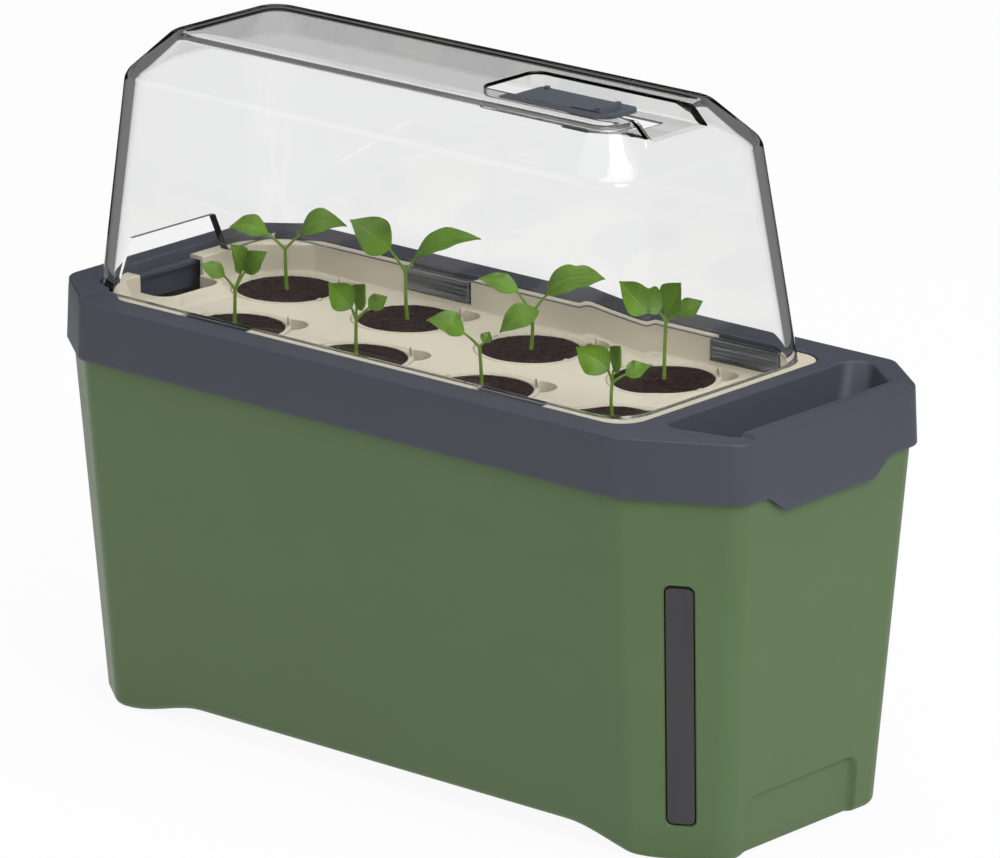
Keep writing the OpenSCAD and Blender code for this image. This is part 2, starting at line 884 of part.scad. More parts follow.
// The tray's flange and upright wall
module seed_tray() {
    color([0.81, 0.79, 0.72])
        difference() {
            union() {
                ring(opening(tray_fit), opening(tray_in), flange_z - flange_t, flange_z);
                ring(
                    opening(tray_in - tray_wall),
                    opening(tray_in),
                    floor_z - tray_floor_t,
                    flange_z - eps
                );
            }
            bay(0);
            for (place = clip_places)
                clip_gap(place);
        }
}

// Keeps what lies inside the tray's wall
module inside_wall() {
    intersection() {
        prism(opening(tray_in), cup_z, rim_top);
        children();
    }
}

// The part of the tray's floor round one cup place, with its finger scoop
module cup_seat(n) {
    place = cup_places[n - 1];
    column = (n - 1) % cup_row;
    x0 = column == 0 ? open_x0 : place.x - cup_pitch / 2;
    x1 = column == cup_row - 1 ? open_x1 : place.x + cup_pitch / 2;
    y = place.y > 0 ? [0, open_y] : [-open_y, 0];
    color([0.81, 0.79, 0.72])
        difference() {
            inside_wall() {
                prism(box_plan(x0, x1, y[0], y[1]), floor_z - tray_floor_t, floor_z);
                translate([place.x, place.y, floor_z - scoop_depth - tray_wall])
                    rotate([0, 0, scoop_turn])
                        translate([cup_d / 2, 0, 0])
                            cylinder(r = scoop_r + tray_wall, h = scoop_depth + tray_wall);
            }
            bay(bay_ramp);
            cup_hole(place);
        }
}

// The sloping raised edge of the floor round the bay
module bay_sill() {
    color([0.81, 0.79, 0.72])
        difference() {
            inside_wall() {
                prism(bay_plan(bay_ramp), floor_z - tray_floor_t, floor_z);
                hull() {
                    slice(bay_plan(bay_ramp), floor_z - eps);
                    slice(bay_plan(bay_edge), floor_z + bay_rise);
                }
            }
            bay(0);
            for (place = cup_places)
                cup_hole(place);
        }
}

// Seed cups

// Outer radius of a cup at height z
function cup_r(z) = cup_d / 2 - cup_taper * (floor_z - z) / cup_depth;

// A tab that stands on a cup's ring
module cup_tab(turn, w, h) {
    rise = cup_ring_t / 2;
    rotate([0, 0, scoop_turn + turn])
        translate([cup_ring_r - cup_lip - cup_wall / 2, -w / 2, floor_z - rise])
            cube([cup_wall, w, rise + h]);
}

module seed_cup(n) {
    place = cup_places[n - 1];
    r = cup_d / 2;
    profile = [
        [cup_hole_d / 2, cup_z],
        [cup_r(cup_z), cup_z],
        [r, floor_z - cup_ring_t],
        [cup_ring_r, floor_z - cup_ring_t],
        [cup_ring_r, floor_z],
        [cup_ring_r - cup_lip, floor_z],
        [cup_r(floor_z - cup_ring_t) - cup_wall, floor_z - cup_ring_t],
        [cup_r(cup_z) - cup_wall, cup_z + cup_wall],
        [cup_hole_d / 2, cup_z + cup_wall],
    ];
    color([0.78, 0.76, 0.69])
        translate([place.x, place.y, 0]) {
            rotate_extrude()
                polygon(profile);
            cup_tab(0, tab_w, tab_h);
            cup_tab(120, nub_w, nub_h);
            cup_tab(300, nub_w, nub_h);
        }
}

module soil_plug(n) {
    place = cup_places[n - 1];
    z0 = cup_z + cup_wall;
    neck_z = floor_z - cup_ring_t;
    neck_r = cup_r(neck_z) - cup_wall;
    top_share = (soil_z - neck_z) / cup_ring_t;
    profile = [
        [0, z0],
        [cup_r(cup_z) - cup_wall - soil_fit, z0],
        [neck_r - soil_fit, neck_z],
        [neck_r + (cup_ring_r - cup_lip - neck_r) * top_share - 2 * soil_fit, soil_z],
        [0, soil_z],
    ];
    color([0.19, 0.12, 0.09])
        translate([place.x, place.y, 0])
            rotate_extrude()
                polygon(profile);
}

// Seedlings

// Half width of a leaf at a share u of its length
function leaf_half(u, w) = max(w / 2 * sin(180 * pow(u, leaf_swell)), leaf_min);

// A curved leaf blade from foot to tip
module leaf(foot, tip, w, bow, cup, turn) {
    nu = 7;
    nv = 4;
    flat = unit(cross(tip - foot, [0, 0, 1]));
    lift = unit(cross(flat, tip - foot));
    roll = flat.y < 0 ? turn : -turn;
    side = flat * cos(roll) - lift * sin(roll);
    up = lift * cos(roll) + flat * sin(roll);
    top = [
        for (i = [0 : nu])
            for (k = [0 : nv])
                let (u = i / nu, v = 2 * k / nv - 1)
                foot + (tip - foot) * u
                    + up * (bow * 4 * u * (1 - u) + cup * v * v * sin(180 * u))
                    + side * v * leaf_half(u, w),
    ];
    low = [for (p = top) p - up * leaf_t];
    n = nv + 1;
    count = len(top);
    upper = [
        for (i = [0 : nu - 1], k = [0 : nv - 1])
            let (a = i * n + k)
            each [[a, a + n, a + n + 1], [a, a + n + 1, a + 1]],
    ];
    lower = [for (f = upper) [f[2] + count, f[1] + count, f[0] + count]];
    rim = concat(
        [for (k = [0 : nv]) k],
        [for (i = [1 : nu]) i * n + nv],
        [for (k = [1 : nv]) nu * n + nv - k],
        [for (i = [1 : nu - 1]) (nu - i) * n]
    );
    sides = [
        for (i = [0 : len(rim) - 1])
            let (a = rim[i], b = after(rim, i))
            each [[a, b, b + count], [a, b + count, a + count]],
    ];
    polyhedron(concat(top, low), concat(upper, lower, sides));
}

// A round stalk between two points
module stalk(a, b, d0, d1) {
    hull() {
        translate(a)
            sphere(d = d0, $fn = 8);
        translate(b)
            sphere(d = d1, $fn = 8);
    }
}

module seedling(n) {
    place = cup_places[n - 1];
    top = seedlings[n - 1][0];
    leaves = seedlings[n - 1][1];
    steps = 4;
    color([0.37, 0.55, 0.16])
        translate([place.x, place.y, soil_z])
            rotate([0, 0, leaf_turn]) {
                hull() {
                    cylinder(d = stem_d, h = eps, $fn = 8);
                    translate(top / steps)
                        sphere(d = stem_d, $fn = 8);
                }
                for (k = [1 : steps - 1])
                    stalk(top * k / steps, top * (k + 1) / steps, stem_d, stem_d);
                for (blade = leaves) {
                    reach = blade[1] - blade[0];
                    ends = [for (share = stalk_reach) blade[0] + reach * share];
                    sizes = stem_d * stalk_share;
                    stalk(top, ends[0], stem_d, sizes[0]);
                    stalk(blade[0], ends[1], sizes[0], sizes[1]);
                    leaf(blade[0], blade[1], blade[2], blade[3], blade[4], blade[5]);
                }
            }
}

// Dome

module dome_body(d) {
    hull() {
        slice(dome_outline(d, dome_r - d), flange_z);
        slice(dome_outline(d + dome_lean, eaves_r - d, wall_h / (wall_h + bevel_h)), eaves_z);
        slice(dome_outline(d + dome_lean + bevel_in, top_r, 1), top_z - d - eps);
    }
}

// The sunk vent channel, or its walls when grown
module channel(grow, z0) {
    w = channel_w / 2 + grow;
    plan = rounded(box_plan(channel_x0 - grow, dome_x1 + channel_r, -w, w), channel_r + grow);
    prism(plan, z0, top_z + past);
}

// One clip tab under the dome's edge
module dome_clip(n) {
    place = clip_places[n - 1];
    y = open_y - dome_in;
    color([0.3, 0.31, 0.33])
        translate([place.x - clip_w / 2, place.y > 0 ? y - clip_in : -y, flange_z - clip_h])
            cube([clip_w, clip_in, clip_h]);
}

// The cut-out over the tray's bay
module bay_cut() {
    foot = cut_w / 2 + cut_flare;
    plan = [
        [-foot, flange_z - past],
        [foot, flange_z - past],
        [cut_w / 2, flange_z + cut_h],
        [-cut_w / 2, flange_z + cut_h],
    ];
    translate([open_x0, -bay_shift, 0])
        rotate([90, 0, 90])
            linear_extrude(bay_len)
                polygon(plan);
}

module dome() {
    color([0.85, 0.87, 0.88, 0.35])
        difference() {
            dome_body(0);
            difference() {
                dome_body(dome_t);
                channel(dome_t, channel_z - dome_t);
            }
            prism(dome_outline(dome_t, dome_r - dome_t), flange_z - past, flange_z + 2 * eps);
            channel(0, channel_z);
            translate([slot_x0, -slot_w / 2, channel_z - 2 * dome_t])
                cube([slot_len, slot_w, 3 * dome_t]);
            bay_cut();
        }
}

// Vent slider

module vent_slider() {
    plate_z = channel_z + slider_fit;
    foot_z = channel_z - dome_t - slider_fit - foot_t;
    neck_w = slot_w - 4 * slider_fit;
    color([0.31, 0.34, 0.39]) {
        prism(
            rounded(box_plan(slider_x0, slider_x0 + slider_len, -slider_w / 2, slider_w / 2), foot_t),
            plate_z,
            plate_z + slider_t
        );
        translate([neck_x0, -neck_w / 2, foot_z])
            cube([neck_x1 - neck_x0, neck_w, plate_z - foot_z + eps]);
        translate([neck_x0, -foot_w / 2, foot_z])
            cube([neck_x1 - neck_x0, foot_w, foot_t]);
        translate([slider_x0 + slider_len - 2 * slider_t, -slider_w / 4, plate_z])
            cube([slider_t, slider_w / 2, slider_t + grip_h - slider_t / 2]);
        translate([slider_x0 + 2 * slider_t, slider_w / 2 - slider_t, plate_z + slider_t - eps])
            cylinder(d = slider_t, h = slider_t / 2);
    }
}

outer_pot();
rim_frame();
sight_glass();
sight_gasket();
capillary_deck();
capillary_mat();
wick_basket_left();
wick_basket_right();
wick_core_left();
wick_core_right();
seed_tray();
bay_sill();
for (n = [1 : len(cup_places)])
    cup_seat(n);
for (n = [1 : len(cup_places)])
    seed_cup(n);
for (n = [1 : len(cup_places)])
    soil_plug(n);
for (n = [1 : len(cup_places)])
    seedling(n);
dome();
for (n = [1 : len(clip_places)])
    dome_clip(n);
vent_slider();
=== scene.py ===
"""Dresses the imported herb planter: moulded pot, rim and tray, soil, seedlings, clear dome and vent."""
import math
import random
from itertools import groupby

import bmesh
import bpy
from mathutils import Matrix, Vector, noise
from mathutils.geometry import delaunay_2d_cdt


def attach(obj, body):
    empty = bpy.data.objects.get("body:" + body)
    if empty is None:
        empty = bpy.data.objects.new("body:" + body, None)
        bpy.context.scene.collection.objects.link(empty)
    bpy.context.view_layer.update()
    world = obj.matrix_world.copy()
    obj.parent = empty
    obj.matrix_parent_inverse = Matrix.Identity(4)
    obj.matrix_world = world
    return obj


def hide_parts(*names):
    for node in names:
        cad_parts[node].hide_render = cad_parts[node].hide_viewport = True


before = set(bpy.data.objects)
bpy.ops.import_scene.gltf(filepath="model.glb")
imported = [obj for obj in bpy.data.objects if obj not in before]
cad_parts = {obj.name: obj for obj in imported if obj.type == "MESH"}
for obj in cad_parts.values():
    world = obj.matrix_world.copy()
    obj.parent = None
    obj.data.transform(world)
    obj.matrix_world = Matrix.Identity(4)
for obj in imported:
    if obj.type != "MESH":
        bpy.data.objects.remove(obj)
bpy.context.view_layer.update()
scene = bpy.context.scene
MM = 0.001

# Sizes in millimetres, after those of the part's source
RIM_PLAN = [(215, -63.5), (215, 66), (180, 93), (-180, 93), (-215, 66), (-215, -66), (-180, -93), (162, -93)]
OPEN_PLAN = [(153, -75), (153, 75), (-170, 75), (-202, 48), (-202, -48), (-170, -75)]
DOME_PLAN = [(147.5, -69.5), (147.5, 69.5), (-196.5, 69.5), (-196.5, -69.5)]
MOUTH_TOP = [(204, -54), (204, 58), (173, 82), (163, 76), (163, -63)]
MOUTH_LOW = [(204, -54), (204, 57.5), (186, 58.5), (173, 57.5), (173, -54)]
MOUTH_DEPTH = 34
HALF_L = 215
RIM_TOP, RIM_UNDER, RIDGE_FOOT, RIDGE_Z = 210, 207, 208, 212.5
RIM_R = 12
POT_H, BAND_Z = 207, 184
POT_TOP_IN, POT_FOOT_IN, POT_DRAFT = 3.0, 17.2, 14.2
POT_R, POT_WALL, FOOT_R = 12, 3, 4
POT_TILT = math.atan(POT_DRAFT / BAND_Z)
FLANGE_Z, FLOOR_Z, FLOOR_UNDER, SCOOP_Z = 209, 194.5, 192.1, 186.5
SOIL_Z, CUP_Z, MAT_Z = 194.2, 148.5, 145.5
EAVES_Z, TOP_Z, CHANNEL_Z = 317, 338, 329
DOME_RAKE = 4
CUPS = [(-129 + 80 * i, -34) for i in range(4)] + [(-157 + 80 * i, 34) for i in range(4)]
CLIPS = [(-85, 1), (107, 1), (-109, -1), (79, -1)]
CLIP_W, CLIP_H, CLIP_Y = 42, 11, (64, 69.5)
SCOOP_TURN = math.radians(50)
SEAT_R, SCOOP_R, SCOOP_REACH = 28, 10, 26
BAY, BAY_X, BAY_R = (-32, 10), -177, 9
WICK_X = 85


# Plan outlines

def smooth(t):
    t = min(max(t, 0), 1)
    return t * t * (3 - 2 * t)


def lerp(a, b, t):
    return a + (b - a) * t


def corner(plan, i):
    """A corner's point, its direction inward, half its angle and the way back along its first side."""
    p = Vector(plan[i])
    a = (Vector(plan[i - 1]) - p).normalized()
    b = (Vector(plan[(i + 1) % len(plan)]) - p).normalized()
    return p, (a + b).normalized(), math.acos(max(-1, min(1, a.dot(b)))) / 2, a


def inset(plan, d):
    """A convex outline moved in by d on every side."""
    out = []
    for i in range(len(plan)):
        p, inward, half, _ = corner(plan, i)
        out.append(p + inward * (d / math.sin(half)))
    return out


def joined(bends, runs):
    """A closed outline through the bends of its corners; runs gives the shares of points along each side."""
    points = []
    for i, bend in enumerate(bends):
        points += bend
        end = bends[(i + 1) % len(bends)][0]
        points += [bend[-1].lerp(end, t) for t in (runs[i] if runs else ())]
    return points


def heading(a):
    return Vector((math.cos(a), math.sin(a)))


def rounded(plan, r, arc=8, runs=None):
    """A convex outline with round corners of arc steps."""
    arcs = []
    for i in range(len(plan)):
        p, inward, half, back = corner(plan, i)
        centre = p + inward * (r / math.sin(half))
        start = p + back * (r / math.tan(half)) - centre
        first = math.atan2(start.y, start.x)
        sweep = math.pi - 2 * half
        arcs.append([centre + r * heading(first + sweep * k / arc) for k in range(arc + 1)])
    return joined(arcs, runs)


def blended(plan, reach, steps, runs):
    """A convex outline whose corners bend gently in and out, each over reach along both of its sides."""
    bends = []
    for i in range(len(plan)):
        p, _, half, back = corner(plan, i)
        first = math.atan2(-back.y, -back.x)
        sweep = math.pi - 2 * half
        ways = [heading(first + sweep * smooth((k + 0.5) / steps)) for k in range(steps)]
        stride = 2 * reach * math.sin(half) / sum(ways, Vector((0, 0))).length
        bend = [p + back * reach]
        for way in ways:
            bend.append(bend[-1] + way * stride)
        bends.append(bend)
    return joined(bends, runs)


def side_shares(plan, side, r, places):
    """Shares along a rounded side for the given coordinates along it."""
    axis = 0 if abs(plan[side][0] - plan[(side + 1) % len(plan)][0]) > 1 else 1
    curve = rounded(plan, r, 2)
    a, b = curve[side * 3 + 2][axis], curve[(side * 3 + 3) % len(curve)][axis]
    return sorted((c - a) / (b - a) for c in places)


def even(count):
    return [(k + 1) / (count + 1) for k in range(count)]


def evens(*counts):
    return [even(count) for count in counts]


def even_chain(points, count):
    """An open chain of points spread evenly over its own length."""
    lengths = [0.0]
    for a, b in zip(points, points[1:]):
        lengths.append(lengths[-1] + (b - a).length)
    out = []
    k = 0
    for i in range(count + 1):
        at = lengths[-1] * i / count
        while k < len(points) - 2 and lengths[k + 1] < at:
            k += 1
        out.append(points[k].lerp(points[k + 1], (at - lengths[k]) / (lengths[k + 1] - lengths[k])))
    return out


def arc_points(x, y, r, first, sweep, steps):
    """Points of an arc from an angle over a sweep, with both ends."""
    turns = [first + sweep * k / steps for k in range(steps + 1)]
    return [Vector((x + r * math.cos(a), y + r * math.sin(a))) for a in turns]


def circle(x, y, r, count):
    return arc_points(x, y, r, 0, 2 * math.pi, count)[:-1]


def inside(p, plan):
    """Whether a point lies in a closed outline."""
    hit = False
    for a, b in zip(plan, plan[1:] + plan[:1]):
        if (a.y > p.y) != (b.y > p.y) and p.x < (b.x - a.x) * (p.y - a.y) / (b.y - a.y) + a.x:
            hit = not hit
    return hit


def curve_between(a, mid, b, steps):
    """Points of a smooth corner from a to b, drawn towards mid."""
    out = []
    for k in range(steps + 1):
        t = k / steps
        out.append(tuple((1 - t) ** 2 * p + 2 * t * (1 - t) * q + t * t * r for p, q, r in zip(a, mid, b)))
    return out


# Meshes

class Shell:
    """Collects the points, in millimetres, and the faces of one mesh."""

    def __init__(self):
        self.points = []
        self.faces = []

    def ring(self, plan, z):
        first = len(self.points)
        for i, p in enumerate(plan):
            self.points.append((p[0], p[1], z[i] if isinstance(z, list) else z))
        return list(range(first, len(self.points)))

    def chain(self, points):
        first = len(self.points)
        self.points += [tuple(p) for p in points]
        return list(range(first, len(self.points)))

    def bridge(self, low, high, closed=True):
        count = len(low)
        for i in range(count if closed else count - 1):
            k = (i + 1) % count
            self.faces.append((low[i], low[k], high[k], high[i]))

    def loft(self, rings, closed=True):
        for low, high in zip(rings, rings[1:]):
            self.bridge(low, high, closed)

    def cap(self, ring):
        self.faces.append(tuple(ring))

    def solid(self, rings):
        """A closed loft with flat ends."""
        self.loft(rings)
        self.cap(rings[0])
        self.cap(rings[-1])

    def fill(self, rings):
        """The flat area inside the first ring and outside the others."""
        ids = [i for ring in rings for i in ring]
        place = {v: k for k, v in enumerate(ids)}
        border, *holes = [[Vector(self.points[i][:2]) for i in ring] for ring in rings]
        flat = sum(holes, border)
        edges = []
        for ring in rings:
            edges += [(place[a], place[b]) for a, b in zip(ring, ring[1:] + ring[:1])]
        spots, _, tris, origin = delaunay_2d_cdt(flat, edges, [], 1, 1e-6)[:4]
        for tri in tris:
            middle = sum((spots[k] for k in tri), Vector((0, 0))) / 3
            if inside(middle, border) and not any(inside(middle, hole) for hole in holes):
                self.faces.append(tuple(ids[origin[k][0]] for k in tri))

    def tube(self, path, radii, sides):
        """A round tube along a path, closed at both ends."""
        rings = []
        side = None
        for i, p in enumerate(path):
            ahead = path[min(i + 1, len(path) - 1)] - path[max(i - 1, 0)]
            ahead.normalize()
            if side is None:
                side = ahead.orthogonal().normalized()
            side = (side - ahead * side.dot(ahead)).normalized()
            other = ahead.cross(side)
            turn = 2 * math.pi / sides
            rings.append(self.chain([
                p + radii[i] * (side * math.cos(turn * k) + other * math.sin(turn * k)) for k in range(sides)
            ]))
        self.solid(rings)

    def lathe(self, profile, sides):
        """A closed profile of (radius, z) turned about an upright axis."""
        rings = [self.ring(circle(0, 0, r, sides), z) for r, z in profile]
        self.loft(rings + rings[:1])

    def block(self, low, high, r, soft, arc=5):
        """An upright block with round corners r and softened upper and lower edges."""
        plan = [(high[0], low[1]), (high[0], high[1]), (low[0], high[1]), (low[0], low[1])]
        bends = [(soft, 0), (soft * 0.3, soft * 0.3), (0, soft)]
        levels = [(d, low[2] + up) for d, up in bends] + [(d, high[2] - up) for d, up in reversed(bends)]
        self.solid([self.ring(rounded(inset(plan, d), max(r - d, 0.05), arc), z) for d, z in levels])

    def sweep(self, spots, profile):
        """A closed profile of (inward, z) carried along (point, outward) spots, with flat ends."""
        self.solid([self.chain([(*(p - n * d), z) for d, z in profile]) for p, n in spots])

    def join(self, other):
        first = len(self.points)
        self.points += other.points
        self.faces += [tuple(i + first for i in f) for f in other.faces]

    def moved(self, matrix):
        self.points = [tuple(matrix @ Vector(p)) for p in self.points]
        return self


def stack(layers):
    """A closed solid through (outline, height) layers."""
    shell = Shell()
    shell.solid([shell.ring(plan, z) for plan, z in layers])
    return shell


def mesh_of(name, shell, merge=True):
    mesh = bpy.data.meshes.new(name)
    mesh.from_pydata([Vector(p) * MM for p in shell.points], [], shell.faces)
    bm = bmesh.new()
    bm.from_mesh(mesh)
    if merge:
        bmesh.ops.remove_doubles(bm, verts=bm.verts, dist=1e-7)
    bmesh.ops.recalc_face_normals(bm, faces=bm.faces)
    bm.to_mesh(mesh)
    bm.free()
    return mesh


def shell_of(mesh):
    """The points and faces of a mesh as a shell."""
    shell = Shell()
    shell.points = [tuple(v.co / MM) for v in mesh.vertices]
    shell.faces = [tuple(f.vertices) for f in mesh.polygons]
    return shell


def carve(mesh, cutters):
    """The mesh after each (shell, operation) has been cut from it or joined to it."""
    body = bpy.data.objects.new("carved", mesh)
    scene.collection.objects.link(body)
    tools = []
    for shell, operation in cutters:
        tool = bpy.data.objects.new("cutter", mesh_of("cutter", shell))
        scene.collection.objects.link(tool)
        tools.append(tool)
        cut = body.modifiers.new("cut", "BOOLEAN")
        cut.operation = operation
        cut.solver = "EXACT"
        cut.object = tool
    bpy.context.view_layer.update()
    done = bpy.data.meshes.new_from_object(body.evaluated_get(bpy.context.evaluated_depsgraph_get()))
    for obj in tools + [body]:
        data = obj.data
        bpy.data.objects.remove(obj)
        bpy.data.meshes.remove(data)
    return done


def piece(name, mesh, body, materials, nodes, sharp=32, place=(0, 0, 0)):
    """Makes an object of a mesh that moves with a body and stands for the nodes."""
    mesh.name = name
    mesh.materials.clear()
    for material in materials:
        mesh.materials.append(material)
    mesh.polygons.foreach_set("use_smooth", [True] * len(mesh.polygons))
    mesh.set_sharp_from_angle(angle=math.radians(sharp))
    obj = bpy.data.objects.new(name, mesh)
    scene.collection.objects.link(obj)
    obj.location = Vector(place) * MM
    weighted = obj.modifiers.new("weighted", "WEIGHTED_NORMAL")
    weighted.keep_sharp = True
    weighted.weight = 100
    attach(obj, body)
    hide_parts(*nodes)
    return obj


# Materials

def srgb(r, g, b):
    def line(c):
        c /= 255
        return c / 12.92 if c <= 0.04045 else ((c + 0.055) / 1.055) ** 2.4
    return (line(r), line(g), line(b), 1)


class Nodes:
    """Adds and links the nodes of a tree."""

    def __init__(self, tree):
        self.tree = tree

    def add(self, kind, **values):
        node = self.tree.nodes.new(kind)
        for key, value in values.items():
            if hasattr(node, key):
                setattr(node, key, value)
            else:
                node.inputs[key.replace("_", " ")].default_value = value
        return node

    def link(self, a, b):
        self.tree.links.new(a, b)

    def feed(self, values, sockets):
        """Links each output to its socket, or sets the socket to a plain value."""
        for value, socket in zip(values, sockets):
            if hasattr(value, "is_linked"):
                self.link(value, socket)
            else:
                socket.default_value = value

    def math(self, operation, *values):
        node = self.add("ShaderNodeMath", operation=operation)
        self.feed(values, node.inputs)
        return node.outputs[0]

    def range(self, source, low, high):
        node = self.add("ShaderNodeMapRange", To_Min=low, To_Max=high)
        self.link(source, node.inputs["Value"])
        return node.outputs["Result"]

    def blend(self, share, a, b, end):
        """Mixes two shaders by a share into the output node's surface."""
        node = self.add("ShaderNodeMixShader")
        self.feed((share, a, b), node.inputs)
        self.link(node.outputs["Shader"], self.tree.nodes[end].inputs["Surface"])


class Paint(Nodes):
    """A node material built up from textures in object space."""

    def __init__(self, name):
        self.material = bpy.data.materials.new(name)
        self.material.use_nodes = True
        super().__init__(self.material.node_tree)
        self.shader = self.tree.nodes["Principled BSDF"]
        self.coords = self.add("ShaderNodeTexCoord")

    def set(self, **values):
        for key, value in values.items():
            self.shader.inputs[key.replace("_", " ")].default_value = value

    def noise(self, scale, detail, stretch=None, roughness=0.5):
        node = self.add("ShaderNodeTexNoise", Scale=scale, Detail=detail, Roughness=roughness)
        source = self.coords.outputs["Object"]
        if stretch:
            mapping = self.add("ShaderNodeMapping", Scale=stretch)
            self.link(source, mapping.inputs["Vector"])
            source = mapping.outputs["Vector"]
        self.link(source, node.inputs["Vector"])
        return node.outputs["Fac"]

    def cells(self, scale):
        node = self.add("ShaderNodeTexVoronoi", Scale=scale)
        self.link(self.coords.outputs["Object"], node.inputs["Vector"])
        return node.outputs["Distance"]

    def ramp(self, source, stops):
        node = self.add("ShaderNodeValToRGB")
        ramp = node.color_ramp
        while len(ramp.elements) < len(stops):
            ramp.elements.new(0.5)
        for element, (place, colour) in zip(ramp.elements, stops):
            element.position = place
            element.color = colour
        self.link(source, node.inputs["Fac"])
        return node.outputs["Color"]

    def mix(self, share, a, b, kind="MIX"):
        node = self.add("ShaderNodeMix", data_type="RGBA", blend_type=kind)
        self.feed((share, a, b), [node.inputs[k] for k in (0, 6, 7)])
        return node.outputs[2]

    def bump(self, height, strength, depth, below=None):
        node = self.add("ShaderNodeBump", Strength=strength, Distance=depth)
        self.link(height, node.inputs["Height"])
        if below is not None:
            self.link(below, node.inputs["Normal"])
        return node.outputs["Normal"]

    def finish(self, colour, rough, normal):
        for value, key in ((colour, "Base Color"), (rough, "Roughness"), (normal, "Normal")):
            if value is not None:
                self.link(value, self.shader.inputs[key])
        return self.material


def shade(colour, by):
    return tuple(min(c * by, 1) for c in colour[:3]) + (1,)


def moulded(name, colour, rough, grain=1400, depth=0.00006, mottle=0.06):
    """Injection-moulded plastic: faint flow mottling, a fine spark-eroded grain and a few soft rubs."""
    p = Paint(name)
    flow = p.noise(9, 4, stretch=(1, 1, 2.2))
    fine = p.noise(grain, 3)
    rubs = p.noise(38, 5, roughness=0.65)
    tone = p.ramp(flow, [(0.3, shade(colour, 1 - mottle)), (0.5, colour), (0.72, shade(colour, 1 + mottle))])
    tone = p.mix(p.range(fine, 0, 0.12), tone, shade(colour, 0.86))
    gloss = p.math("MULTIPLY_ADD", p.range(rubs, -0.25, 0.25), 0.3, rough)
    normal = p.bump(rubs, 0.05, 0.0004, p.bump(fine, 0.35, depth))
    p.set(Specular_IOR_Level=0.35)
    return p.finish(tone, gloss, normal)


POT_GREEN = moulded("pot_green", srgb(83, 106, 67), 0.45, mottle=0.03)
RIM_SLATE = moulded("rim_slate", srgb(67, 70, 80), 0.5, grain=1800, mottle=0.03)
TRAY_CREAM = moulded("tray_cream", srgb(198, 191, 172), 0.5, grain=2200, depth=0.00003, mottle=0.02)
CUP_CREAM = moulded("cup_cream", srgb(193, 186, 167), 0.5, grain=2200, depth=0.00003, mottle=0.03)
SLIDER_SLATE = moulded("slider_slate", srgb(80, 86, 95), 0.42, grain=2000, depth=0.00003, mottle=0.03)
DECK_DARK = moulded("deck_dark", srgb(62, 64, 68), 0.55, mottle=0.06)
RUBBER = moulded("gasket_rubber", srgb(30, 30, 31), 0.7, grain=2600, mottle=0.08)


def smoked_pane():
    """Dark glossy window plastic with faint drawing marks and water film inside."""
    p = Paint("smoked_pane")
    drawn = p.noise(60, 3, stretch=(1, 1, 0.15))
    specks = p.noise(900, 2)
    tone = p.ramp(drawn, [(0.3, srgb(34, 34, 37)), (0.7, srgb(44, 44, 47))])
    p.set(Coat_Weight=0.15, Coat_Roughness=0.04, IOR=1.5)
    return p.finish(tone, p.range(specks, 0.12, 0.24), p.bump(drawn, 0.08, 0.0002))


def smoke_plastic():
    """Smoky grey glossy plastic with streaks along its length."""
    p = Paint("clip_smoke")
    streaks = p.noise(90, 4, stretch=(0.15, 1, 3))
    haze = p.noise(300, 3)
    tone = p.ramp(streaks, [(0.32, srgb(44, 45, 48)), (0.5, srgb(86, 88, 91)), (0.7, srgb(128, 130, 132))])
    p.set(Coat_Weight=0.5, Coat_Roughness=0.06, IOR=1.5)
    return p.finish(tone, p.range(haze, 0.15, 0.3), p.bump(streaks, 0.12, 0.0003))


def clear_plastic():
    """Clear dome plastic, slightly grey through its thickness, with faint moulding waves; light passes it."""
    p = Paint("dome_clear")
    waves = p.noise(16, 2)
    haze = p.noise(220, 4)
    p.set(Base_Color=(1, 1, 1, 1), Transmission_Weight=1.0, IOR=1.46)
    absorb = p.add("ShaderNodeVolumeAbsorption", Color=(0.60, 0.63, 0.66, 1), Density=6.0)
    p.link(absorb.outputs["Volume"], p.tree.nodes["Material Output"].inputs["Volume"])
    shadow = p.add("ShaderNodeLightPath").outputs["Is Shadow Ray"]
    clear = p.add("ShaderNodeBsdfTransparent", Color=(0.85, 0.85, 0.85, 1))
    p.blend(shadow, p.shader.outputs["BSDF"], clear.outputs["BSDF"], "Material Output")
    return p.finish(None, p.range(haze, 0.0, 0.004), p.bump(waves, 0.012, 0.0006))


def soil_mix():
    """Damp seed compost: dark crumbs with fibres and pale grit."""
    p = Paint("soil")
    crumbs = p.cells(700)
    tone = p.noise(260, 5)
    fibres = p.noise(420, 3, stretch=(1, 6, 3))
    colour = p.ramp(tone, [(0.3, srgb(20, 10, 8)), (0.5, srgb(36, 20, 15)), (0.72, srgb(58, 37, 28))])
    colour = p.mix(p.ramp(fibres, [(0.62, (0, 0, 0, 1)), (0.7, (1, 1, 1, 1))]), colour, srgb(76, 52, 38))
    normal = p.bump(tone, 0.6, 0.0007, p.bump(crumbs, 0.7, 0.0006))
    p.set(Specular_IOR_Level=0.25)
    return p.finish(colour, p.range(tone, 0.75, 0.95), normal)


